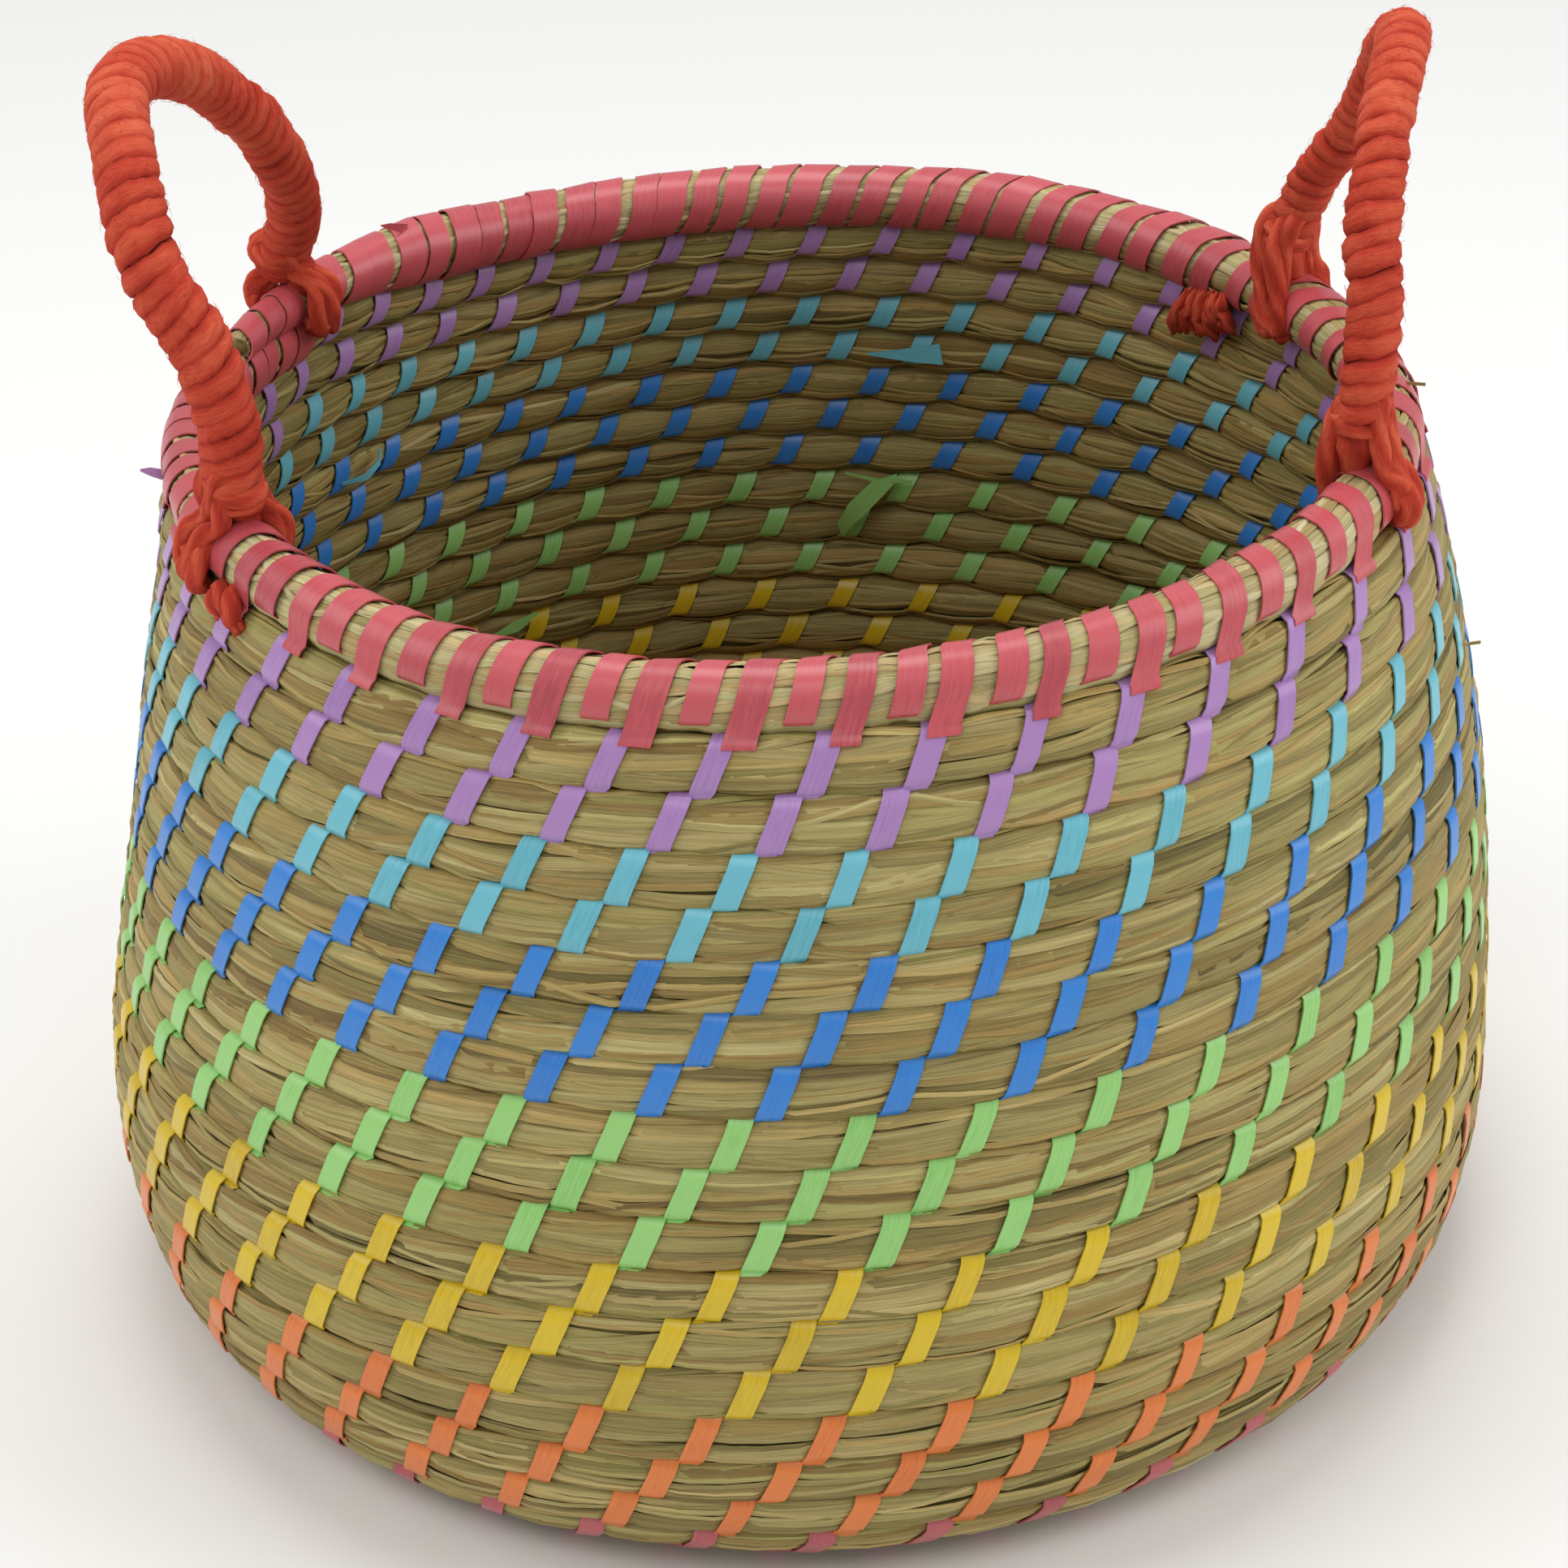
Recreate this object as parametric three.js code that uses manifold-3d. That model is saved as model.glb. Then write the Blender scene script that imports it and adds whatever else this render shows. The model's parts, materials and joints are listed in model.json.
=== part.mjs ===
// Handled basket: a round basket coiled from one long bundle of seagrass,
// with two hoop handles of rope bound in wool yarn and lashed to the rim.
// Millimetres, +Z up. The origin is the middle of the base, on the ground.
// The handles stand at the left (-X) and the right (+X), and the front is -Y.

import * as THREE from "three";
import { mergeVertices } from "three/addons/utils/BufferGeometryUtils.js";
import Module from "manifold-3d";

const degrees = Math.PI / 180;
const fullTurn = 2 * Math.PI;

// Seagrass bundle
const rowPitch = 11; // centre to centre of neighbouring turns
const rowGap = 0.5; // air between neighbouring turns
const bundleDepth = 11; // bundle through the wall
const rimHeight = 12.6; // the rim turn is bound thicker
const rimDepth = 12.6;
const tipHeight = 3.5; // the thinned end of the bundle
const tipDepth = 5;
const endGap = 0.3; // between two lengths of the coil

// Outline of the coil's centre line, from the middle of the base to the rim
const baseRadius = 116.7; // flat part of the base
const heelRadius = 33; // curve from the base into the wall
const heelLean = 18 * degrees; // the wall's lean where the heel ends
const bellyRadius = 56; // curve from the heel to the upright belly
const wallRadius = 486; // slow inward curve of the wall
const wallRun = 161.4; // along the wall, from the belly to the rim

// Turns of the spiral, counted back from the rim's end
const seamAngle = 150 * degrees; // where each length of coil ends
const rimTurns = 1;
const wallTurns = 13;
const heelTurns = 6;
const stepsPerTurn = 24;
const tipSteps = 1; // how far the thinned end runs on over the rim's start
const taperSteps = 2; // steps over which the bundle thins
const swellSteps = 2; // steps over which the rim grows thicker

// Rope handles bound in yarn
const ropeDiameter = 8.5;
const gripDiameter = 13.5; // over the yarn
const ropeBallRadius = 6.5; // bound rope end that rocks on the lashing
const leftRise = 71; // middle of the rope over the line through its two ball ends
const leftReach = 18; // how far it bows outwards
const rightRise = 58.5;
const rightReach = 12.8;
const handleSteps = 30;
const ropeSides = 8;
const gripSides = 12;

// Yarn lashings round the rim
const lashThickness = 5;
const lashWidth = 11;
const lashNeck = 2.4; // thickness where the yarn passes through under the rim
const lashSteps = 16;
const clearance = 0.3; // between yarn and what it binds

// Loose yarn ends
const tailThickness = 5;

// Each handle: where its feet stand on the rim, and its route as shares of
// [half span towards the rear, rise, reach]
const handles = [
  {
    name: "left",
    frontAngle: 207.9 * degrees,
    rearAngle: 152.5 * degrees,
    rise: leftRise,
    reach: leftReach,
    route: [
      [-1, 0, 0],
      [-1, 0.22, -0.03],
      [-0.99, 0.42, 0.17],
      [-0.95, 0.6, 0.5],
      [-0.86, 0.75, 0.74],
      [-0.68, 0.89, 0.9],
      [-0.42, 0.99, 1],
      [-0.16, 1, 0.91],
      [0.14, 0.91, 0.58],
      [0.42, 0.69, 0.1],
      [0.67, 0.43, -0.23],
      [0.87, 0.2, -0.2],
      [1, 0, 0],
    ],
  },
  {
    name: "right",
    frontAngle: 338.2 * degrees,
    rearAngle: 24.5 * degrees,
    rise: rightRise,
    reach: rightReach,
    route: [
      [-1, 0, 0],
      [-0.99, 0.18, 0.08],
      [-0.95, 0.35, 0.13],
      [-0.88, 0.52, 0.12],
      [-0.76, 0.7, 0.17],
      [-0.59, 0.85, 0.34],
      [-0.31, 0.97, 0.66],
      [0, 1, 0.95],
      [0.3, 0.91, 0.97],
      [0.6, 0.66, 0.75],
      [0.8, 0.4, 0.45],
      [0.94, 0.18, 0.15],
      [1, 0, 0],
    ],
  },
];

// Each loose yarn end: how many rows below the rim it starts, and on which side of the wall
const tails = [
  { name: "left_yarn_tail", angle: 204 * degrees, rowsDown: 1.2, inside: false, length: 14, width: 9 },
  { name: "right_yarn_tail", angle: 36 * degrees, rowsDown: 1.3, inside: true, length: 17, width: 13 },
];

// Values worked out from the sizes above
const upright = 0;
const flat = 90 * degrees;
const baseHeight = bundleDepth / 2;
const heelRun = heelRadius * (flat - heelLean);
const bellyRun = bellyRadius * (heelLean - upright);
const lastTurn = (baseRadius + heelRun + bellyRun + wallRun) / rowPitch;
const firstTurn = lastTurn - Math.floor(lastTurn - 0.5);
const rimStart = lastTurn - rimTurns;
const wallStart = rimStart - wallTurns;
const heelStart = wallStart - heelTurns;
const step = 1 / stepsPerTurn;

// The outline at a distance run from the middle of the base: radius, height, and lean
// from upright, which is a quarter turn on the flat base and negative where the wall
// leans inwards.
function outline(run) {
  let radius = Math.min(run, baseRadius);
  let height = baseHeight;
  let lean = flat;
  let left = run - radius;
  const arcs = [
    [heelRadius, heelLean],
    [bellyRadius, upright],
    [wallRadius, -flat],
  ];
  for (const [arcRadius, endLean] of arcs) {
    const nextLean = Math.max(endLean, lean - left / arcRadius);
    radius += arcRadius * (Math.cos(nextLean) - Math.cos(lean));
    height += arcRadius * (Math.sin(lean) - Math.sin(nextLean));
    left -= arcRadius * (lean - nextLean);
    lean = nextLean;
  }
  return { radius, height, lean };
}

// The frame of the coil at a turn: centre, outward normal, direction up the wall and
// direction along the bundle.
function frameAt(turn) {
  const { radius, height, lean } = outline(turn * rowPitch);
  const angle = seamAngle + fullTurn * (turn - lastTurn);
  const radial = new THREE.Vector3(Math.cos(angle), Math.sin(angle), 0);
  const vertical = new THREE.Vector3(0, 0, 1);
  return {
    centre: radial.clone().multiplyScalar(radius).setZ(height),
    outward: radial.clone().multiplyScalar(Math.cos(lean)).addScaledVector(vertical, -Math.sin(lean)),
    upward: radial.clone().multiplyScalar(Math.sin(lean)).addScaledVector(vertical, Math.cos(lean)),
    radius,
  };
}

// How thick the bundle is at a turn. The rim swells after its start and thins to a tip.
function bundleAt(turn) {
  const plain = { depth: bundleDepth, height: rowPitch - rowGap };
  if (turn < rimStart) return plain;
  const mix = THREE.MathUtils.lerp;
  const swell = THREE.MathUtils.clamp((turn - rimStart - tipSteps * step) / (swellSteps * step), 0, 1);
  const thin = THREE.MathUtils.clamp(
    (turn - lastTurn - (tipSteps - taperSteps) * step) / (taperSteps * step),
    0,
    1,
  );
  return {
    depth: mix(mix(plain.depth, rimDepth, swell), tipDepth, thin),
    height: mix(mix(plain.height, rimHeight, swell), tipHeight, thin),
  };
}

// The six corners of the bundle's section at a turn, as [outwards, up the wall]. A flat
// face looks out and one looks in, and neighbouring turns meet edge to edge.
function sectionAt(turn) {
  const { depth, height } = bundleAt(turn);
  const bottom = (rowGap - rowPitch) / 2;
  const top = bottom + height;
  const middle = (top + bottom) / 2;
  const side = depth / 2;
  const halfFace = height / 4;
  return [
    [side, middle - halfFace],
    [side, middle + halfFace],
    [0, top],
    [-side, middle + halfFace],
    [-side, middle - halfFace],
    [0, bottom],
  ];
}

// The section in its place. Where the base curves into the heel it is pressed flat on
// the ground.
function ringAt(turn) {
  const { centre, outward, upward } = frameAt(turn);
  return sectionAt(turn).map(([out, up]) => {
    const point = centre.clone().addScaledVector(outward, out).addScaledVector(upward, up);
    return point.setZ(Math.max(point.z, 0));
  });
}

// A closed body through rings of points. Looped rings join the last to the first, and
// open ones are capped at both ends.
function sweep(rings, looped = false) {
  const sides = rings[0].length;
  const position = rings.flat().flatMap((point) => [point.x, point.y, point.z]);
  const index = [];
  const count = looped ? rings.length : rings.length - 1;
  for (let i = 0; i < count; i++) {
    const here = i * sides;
    const next = ((i + 1) % rings.length) * sides;
    for (let j = 0; j < sides; j++) {
      const k = (j + 1) % sides;
      index.push(here + j, here + k, next + k);
      index.push(here + j, next + k, next + j);
    }
  }
  if (!looped) {
    const last = (rings.length - 1) * sides;
    for (let j = 1; j < sides - 1; j++) {
      index.push(0, j + 1, j);
      index.push(last, last + j, last + j + 1);
    }
  }
  const geometry = new THREE.BufferGeometry();
  geometry.setAttribute("position", new THREE.Float32BufferAttribute(position, 3));
  geometry.setIndex(index);
  return geometry;
}

// A length of the coil as one unbroken tube
function coilTube(from, to) {
  const trim = (turn) => endGap / 2 / (fullTurn * frameAt(turn).radius);
  const rings = [ringAt(from + trim(from))];
  const whole = Math.round((to - from) / step);
  for (let i = 1; i < whole; i++) rings.push(ringAt(from + i * step));
  rings.push(ringAt(to - trim(to)));
  return sweep(rings.map((ring) => ring.slice().reverse()));
}

// The least distance between the corners of neighbouring turns
function leastGap(from, to) {
  let least = Infinity;
  for (let turn = from; turn + 1 <= to + step / 2; turn += step) {
    const lower = ringAt(turn);
    const upper = ringAt(turn + 1);
    for (const a of lower) for (const b of upper) least = Math.min(least, a.distanceTo(b));
  }
  return least;
}

// Boolean cuts and joins
const wasm = await Module();
wasm.setup();

function toSolid(geometry) {
  const bare = geometry.clone();
  bare.deleteAttribute("normal");
  bare.deleteAttribute("uv");
  const merged = mergeVertices(bare, 1e-4);
  return new wasm.Manifold(
    new wasm.Mesh({
      numProp: 3,
      vertProperties: merged.attributes.position.array,
      triVerts: new Uint32Array(merged.index.array),
    }),
  );
}

function toGeometry(solid) {
  const mesh = solid.getMesh();
  const geometry = new THREE.BufferGeometry();
  geometry.setAttribute("position", new THREE.BufferAttribute(mesh.vertProperties, 3));
  geometry.setIndex(new THREE.BufferAttribute(mesh.triVerts, 1));
  return geometry;
}

function cutAway(geometry, tools) {
  return toGeometry(tools.reduce((solid, tool) => solid.subtract(toSolid(tool)), toSolid(geometry)));
}

function joined(geometries) {
  return toGeometry(geometries.map(toSolid).reduce((a, b) => a.add(b)));
}

// An angle round the basket as a share of a turn past the seam
function turnShare(angle) {
  const share = (angle - seamAngle) / fullTurn;
  return share - Math.floor(share);
}

// The rim at a foot: the frame of the turn there, and the lowest and highest reach of
// what the lashing binds, which is two thicknesses where the thinned end lies on top.
function rimAt(angle) {
  const around = turnShare(angle);
  const turn = rimStart + around;
  const corners = sectionAt(turn).map(([, up]) => up);
  const low = Math.min(...corners);
  let high = Math.max(...corners);
  if (around < tipSteps * step) {
    high = rowPitch + Math.max(...sectionAt(turn + 1).map(([, up]) => up));
  }
  const { centre, outward, upward } = frameAt(turn);
  const along = new THREE.Vector3().crossVectors(upward, outward);
  return { centre, outward, along, upward, low, high };
}

// The lashing's oval at a foot: a point at an angle round it, a height above its inner
// face, as [outwards, up the wall]
function lashPoint(rim, angle, lift) {
  const middle = (rim.high + rim.low) / 2;
  const halfDepth = rimDepth / 2 + clearance;
  const halfHeight = (rim.high - rim.low) / 2 + clearance;
  return [Math.cos(angle) * (halfDepth + lift), middle + Math.sin(angle) * (halfHeight + lift)];
}

// The lashing is thin where it passes under the rim
function lashThicknessAt(angle) {
  const under = THREE.MathUtils.smoothstep(-Math.sin(angle), 0.55, 0.95);
  return THREE.MathUtils.lerp(lashThickness, lashNeck, under);
}

// A lashing, or with grow the room that it needs in the coil
function lashing(rim, grow = 0) {
  const rings = [];
  for (let i = 0; i < lashSteps; i++) {
    const angle = (i * fullTurn) / lashSteps;
    const thick = lashThicknessAt(angle);
    const half = lashWidth / 2 + grow;
    const corners = [
      [-grow, -half * 0.7],
      [thick / 2, -half],
      [thick + grow, -half * 0.7],
      [thick + grow, half * 0.7],
      [thick / 2, half],
      [-grow, half * 0.7],
    ];
    rings.push(
      corners.map(([lift, across]) => {
        const [out, up] = lashPoint(rim, angle, lift);
        return new THREE.Vector3(out, across, up);
      }),
    );
  }
  return sweep(rings, true);
}

// Where the rope's ball end sits: straight above the rim, clear of the lashing
function ballCentre(rim) {
  const reach = ropeBallRadius + clearance;
  const outerFace = [];
  for (let i = 0; i < 4 * lashSteps; i++) {
    const angle = (i * fullTurn) / (4 * lashSteps);
    const [out, up] = lashPoint(rim, angle, lashThicknessAt(angle));
    outerFace.push(
      rim.centre.clone().addScaledVector(rim.outward, out).addScaledVector(rim.upward, up),
    );
  }
  const sits = (point) => {
    const aside = Math.hypot(point.x - rim.centre.x, point.y - rim.centre.y);
    return aside < reach ? point.z + Math.sqrt(reach * reach - aside * aside) : -Infinity;
  };
  return rim.centre.clone().setZ(Math.max(...outerFace.map(sits)));
}

// A group whose X, Y and Z run along three directions, at a point
function placedGroup(origin, x, y, z) {
  const group = new THREE.Group();
  group.position.copy(origin);
  group.quaternion.setFromRotationMatrix(new THREE.Matrix4().makeBasis(x, y, z));
  group.updateMatrixWorld(true);
  return group;
}

// Materials, by the colours of the real ones
const seagrass = { color: 0xb4a26a, roughness: 0.75, metalness: 0 };
const rimBinding = { color: 0xc8646a, roughness: 0.5, metalness: 0 };
const yarn = { color: 0xc8432e, roughness: 0.95, metalness: 0 };
const rope = { color: 0xb9a27a, roughness: 0.9, metalness: 0 };

function named(name, geometry, look) {
  geometry.computeVertexNormals();
  const mesh = new THREE.Mesh(geometry, new THREE.MeshStandardMaterial(look));
  mesh.name = name;
  return mesh;
}

// A handle's frame: X along the line through its two ball ends, Y outwards, Z up
function handleFrame(front, rear) {
  const middle = front.clone().add(rear).multiplyScalar(0.5);
  const chord = rear.clone().sub(front);
  const outward = new THREE.Vector3(middle.x, middle.y, 0);
  outward.addScaledVector(chord, -outward.dot(chord) / chord.lengthSq()).normalize();
  const x = chord.clone().normalize();
  const z = new THREE.Vector3().crossVectors(x, outward);
  if (z.z < 0) {
    x.negate();
    z.negate();
  }
  return { middle, x, y: outward, z, towardRear: Math.sign(x.dot(chord)), halfSpan: chord.length() / 2 };
}

function handleRoute(handle, frame) {
  const points = handle.route.map(
    ([along, rise, out]) =>
      new THREE.Vector3(
        along * frame.halfSpan * frame.towardRear,
        out * handle.reach,
        rise * handle.rise,
      ),
  );
  return new THREE.CatmullRomCurve3(points, false, "centripetal");
}

function roundShape(diameter, sides) {
  const corners = [];
  for (let i = 0; i < sides; i++) {
    const angle = (i * fullTurn) / sides;
    corners.push(new THREE.Vector2(Math.cos(angle), Math.sin(angle)).multiplyScalar(diameter / 2));
  }
  return corners;
}

// The rope: a rod along the route with a ball at each end
function ropeBody(route) {
  const rod = new THREE.ExtrudeGeometry(new THREE.Shape(roundShape(ropeDiameter, ropeSides)), {
    steps: handleSteps,
    extrudePath: route,
    bevelEnabled: false,
  });
  const balls = [0, 1].map((share) => {
    const end = route.getPointAt(share);
    return new THREE.SphereGeometry(ropeBallRadius, 12, 8).translate(end.x, end.y, end.z);
  });
  return joined([rod, ...balls]);
}

// The yarn grip: a sleeve on the rope that stops clear of both balls
function gripBody(route) {
  const bore = ropeDiameter + 2 * clearance;
  const reach = ropeBallRadius + clearance;
  const start = Math.sqrt(reach * reach - (bore / 2) ** 2) + clearance;
  const share = start / route.getLength();
  const points = [];
  for (let i = 0; i <= handleSteps; i++) {
    points.push(route.getPointAt(THREE.MathUtils.lerp(share, 1 - share, i / handleSteps)));
  }
  const sleeve = new THREE.Shape(roundShape(gripDiameter, gripSides));
  sleeve.holes.push(new THREE.Path(roundShape(bore / Math.cos(Math.PI / gripSides), gripSides)));
  return new THREE.ExtrudeGeometry(sleeve, {
    steps: handleSteps,
    extrudePath: new THREE.CatmullRomCurve3(points, false, "centripetal"),
    bevelEnabled: false,
  });
}

// A loose end of yarn lying against the wall: flat where it starts, thick in the middle
function tailBody(tail) {
  const stations = [
    [0, 0.45, 0.5],
    [0.3, 0.9, 0.95],
    [0.65, 1, 1],
    [0.92, 0.75, 0.7],
    [1, 0.35, 0.3],
  ];
  const rings = stations.map(([share, wide, thick]) => {
    const halfWidth = (tail.width / 2) * wide;
    const height = tailThickness * thick;
    const corners = [
      [0, -halfWidth * 0.6],
      [0, halfWidth * 0.6],
      [height * 0.5, halfWidth],
      [height, halfWidth * 0.45],
      [height, -halfWidth * 0.45],
      [height * 0.5, -halfWidth],
    ];
    const up = (0.5 - share) * tail.length;
    return corners.map(([out, across]) => new THREE.Vector3(out, across, up));
  });
  return sweep(rings);
}

// A tail lies on the middle of the coil's nearest facet, which is nearer the axis than
// the round coil would be.
function placedTail(tail) {
  const facet = Math.floor(turnShare(tail.angle) / step) + 0.5;
  const middleDown = tail.rowsDown + tail.length / 2 / rowPitch;
  const row = Math.round(middleDown);
  const { centre, outward, upward } = frameAt(rimStart + facet * step - row);
  const facetShare = Math.cos((step * fullTurn) / 2);
  centre.set(centre.x * facetShare, centre.y * facetShare, centre.z);
  centre.addScaledVector(upward, (row - middleDown) * rowPitch);
  const out = outward.clone().multiplyScalar(tail.inside ? -1 : 1);
  const along = new THREE.Vector3().crossVectors(upward, out);
  const seat = centre.clone().addScaledVector(out, bundleDepth / 2 + clearance);
  const group = placedGroup(seat, out, along, upward);
  group.add(named(tail.name, tailBody(tail), yarn));
  return group;
}

const basket = new THREE.Group();
basket.name = "handled_basket";

// Handles and lashings
const lashRoom = [];
for (const handle of handles) {
  const feet = {
    front: rimAt(handle.frontAngle),
    rear: rimAt(handle.rearAngle),
  };
  for (const [foot, rim] of Object.entries(feet)) {
    const group = placedGroup(rim.centre, rim.outward, rim.along, rim.upward);
    group.add(named(`${handle.name}_${foot}_lashing`, lashing(rim), yarn));
    basket.add(group);
    lashRoom.push(lashing(rim, clearance).applyMatrix4(group.matrixWorld));
  }
  const frame = handleFrame(ballCentre(feet.front), ballCentre(feet.rear));
  const route = handleRoute(handle, frame);
  const group = placedGroup(frame.middle, frame.x, frame.y, frame.z);
  group.add(named(`${handle.name}_handle_rope`, ropeBody(route), rope));
  group.add(named(`${handle.name}_handle_yarn`, gripBody(route), yarn));
  basket.add(group);
  const outwardAxis = new THREE.Vector3().crossVectors(frame.z, frame.y);
  console.log(
    `${handle.name} handle rocks about ${frame.middle.toArray().map((v) => v.toFixed(2))}`,
    `along ${outwardAxis.toArray().map((v) => v.toFixed(4))}, outwards positive`,
  );
}

for (const tail of tails) basket.add(placedTail(tail));

// The coil, in lengths that meet end to end
const coils = [
  { name: "base_coil", from: firstTurn, to: heelStart, tools: [], look: seagrass },
  { name: "heel_coil", from: heelStart, to: wallStart, tools: [], look: seagrass },
  { name: "wall_coil", from: wallStart, to: rimStart, tools: lashRoom, look: seagrass },
  { name: "rim_coil", from: rimStart, to: lastTurn + tipSteps * step, tools: lashRoom, look: rimBinding },
];
for (const { name, from, to, tools, look } of coils) {
  basket.add(named(name, cutAway(coilTube(from, to), tools), look));
  console.log(`${name}: ${(to - from).toFixed(2)} turns, least gap ${leastGap(from, to).toFixed(3)} mm`);
}

export default basket;
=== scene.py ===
# %% [markdown]
# # A coiled seagrass basket
# The basket is one long bundle of dried seagrass, coiled from the middle of the base up to
# the rim. Each turn is stitched to the turn below with flat coloured plastic strap. The rim
# is bound with red strap, and two rope handles wound with wool yarn stand on it.
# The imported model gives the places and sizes, and this lesson gives it its looks.

# %% Load the frame
import json
import math

import bmesh
import bpy
import numpy as np
from mathutils import Matrix, Vector


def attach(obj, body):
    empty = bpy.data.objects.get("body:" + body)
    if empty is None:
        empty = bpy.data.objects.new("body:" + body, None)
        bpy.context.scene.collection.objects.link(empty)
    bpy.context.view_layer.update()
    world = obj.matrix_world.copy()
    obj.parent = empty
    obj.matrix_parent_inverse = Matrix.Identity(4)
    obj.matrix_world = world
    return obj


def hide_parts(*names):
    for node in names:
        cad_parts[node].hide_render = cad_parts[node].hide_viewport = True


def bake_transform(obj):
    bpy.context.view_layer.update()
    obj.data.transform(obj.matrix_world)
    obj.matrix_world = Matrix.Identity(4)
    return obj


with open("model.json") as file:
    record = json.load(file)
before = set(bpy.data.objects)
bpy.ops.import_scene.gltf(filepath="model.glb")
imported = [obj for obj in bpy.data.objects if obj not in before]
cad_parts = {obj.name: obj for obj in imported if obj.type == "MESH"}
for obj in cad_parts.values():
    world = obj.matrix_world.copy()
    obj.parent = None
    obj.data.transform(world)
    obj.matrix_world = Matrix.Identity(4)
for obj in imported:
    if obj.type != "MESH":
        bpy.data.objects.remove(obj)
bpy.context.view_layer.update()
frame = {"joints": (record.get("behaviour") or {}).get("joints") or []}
mm = 0.001
rng = np.random.default_rng(7)

# %% [markdown]
# ## The spiral
# A coil's row climbs one row pitch in each turn. Its centre line follows an outline: flat
# under the base, round the heel, round the belly, and slowly inwards up to the rim. Every
# blade of grass and every stitch is placed by its turn along this line, so the pattern
# holds together however the basket is shaped.

# %% Sizes of the coil
row_pitch = 11 * mm
bundle_depth = 11 * mm
base_radius = 122.8 * mm
arcs = [(25 * mm, 18), (110.4 * mm, 12), (56 * mm, 0), (486 * mm, -90)]  # radius, lean at its top
wall_run = 161.4 * mm
base_turns = 10
heel_turns = 6
wall_turns = 13
seam_angle = math.radians(150)
leans = [90] + [lean for _, lean in arcs]
lower_run = sum(arc * math.radians(leans[i] - leans[i + 1]) for i, (arc, _) in enumerate(arcs[:3]))
last_turn = (base_radius + lower_run + wall_run) / row_pitch
rim_start = last_turn - 1
wall_start = rim_start - wall_turns
heel_start = wall_start - heel_turns
first_turn = heel_start - base_turns
tip_turns = 1 / 24
bundle_end = last_turn + tip_turns
sag = 1.2 * mm
sag_rows = 3.2  # how far down the wall sags most
print(f"turns: {last_turn:.2f}, of which the base has {base_turns}")


# %% The outline and the frame at a turn
def outline(run):
    """Radius, height and lean of the centre line at a distance from the base's middle."""
    radius = np.minimum(run, base_radius)
    left = run - radius
    height = np.full_like(run, bundle_depth / 2)
    lean = np.full_like(run, math.pi / 2)
    for arc, end in arcs:
        next_lean = np.maximum(math.radians(end), lean - left / arc)
        radius = radius + arc * (np.cos(next_lean) - np.cos(lean))
        height = height + arc * (np.sin(lean) - np.sin(next_lean))
        left = left - arc * (lean - next_lean)
        lean = next_lean
    return radius, height, lean


def frame_at(run, angle):
    """Centre, outward direction and direction up the wall."""
    radius, height, lean = outline(run)
    radial = np.stack([np.cos(angle), np.sin(angle), np.zeros_like(angle)], -1)
    vertical = np.array([0.0, 0.0, 1.0])
    centre = radial * radius[..., None] + vertical * height[..., None]
    lean = lean[..., None]
    outward = radial * np.cos(lean) - vertical * np.sin(lean)
    upward = radial * np.sin(lean) + vertical * np.cos(lean)
    return centre, outward, upward


# %% The frame at a turn, a little out of round
bulges = [  # azimuth, width in degrees, rows down from the top, how far out there in mm
    (115, 28, [0, 4], [-2.4, 0]),
    (357, 30, [1, 9, 13], [2.6, 1.2, 0]),
    (182, 32, [1.5, 3, 10, 13], [0, -2, -2, 0]),
    (236, 62, [9, 13, 20, 26], [0, 3.4, 3.4, 0]),
]
rises = [(184, 46, 4, 5.0), (58, 20, 2, 1.0)]  # azimuth, width, power, how far up in mm


def bump_at(angle, degrees, width, power=2):
    """A smooth bump round one azimuth, 1 at its middle."""
    away = np.mod(np.degrees(angle) - degrees + 180, 360) - 180
    return np.exp(-(np.abs(away / width) ** power))


def azimuth_at(turn):
    return seam_angle + math.tau * (turn - last_turn)


def coil_frame(turn):
    """The frame at each turn. Like any basket made by hand, it is a little out of round."""
    turn = np.asarray(turn, float)
    down = last_turn - turn
    run = turn * row_pitch - sag * np.exp(-(((down - sag_rows) / 2) ** 2))
    angle = azimuth_at(turn)
    centre, outward, upward = frame_at(run, angle)
    wider = np.interp(down, [0, 4], [1.1, 0]) * np.cos(2 * angle)
    for degrees, width, rows, sizes in bulges:
        wider = wider + np.interp(down, rows, sizes) * bump_at(angle, degrees, width)
    lift = sum(rise * bump_at(angle, degrees, width, power) for degrees, width, power, rise in rises)
    lift = lift * np.interp(down, [1, 7.5], [1, 0])
    aside = np.interp(down, [0.5, 2, 8, 12], [0, 1.0, 0.8, 0])
    moved = np.stack([wider * np.cos(angle) + aside, wider * np.sin(angle), lift], -1)
    return centre + moved * mm, outward, upward


def radius_at(turn):
    return outline(np.asarray(turn, float) * row_pitch)[0]


print("rim radius:", radius_at(last_turn - 0.5) / mm)

# %% [markdown]
# ## The bundle's section
# The grass is pressed flat against its neighbours. Outside, the wall was rubbed nearly
# smooth, so a row is almost square there. Inside, each row stays as round as a sausage, and
# so does the rim all round. A superellipse gives both, with one power for the outer half
# and another for the rest.

# %% The section as a table, a quarter turn at a time
outer_power = 5.0
round_power = 2.15
quarter_run = 9.2 * mm


def unit(vector):
    """A direction, or rows of them, made one long."""
    return vector / np.linalg.norm(vector, axis=-1, keepdims=True)


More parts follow.
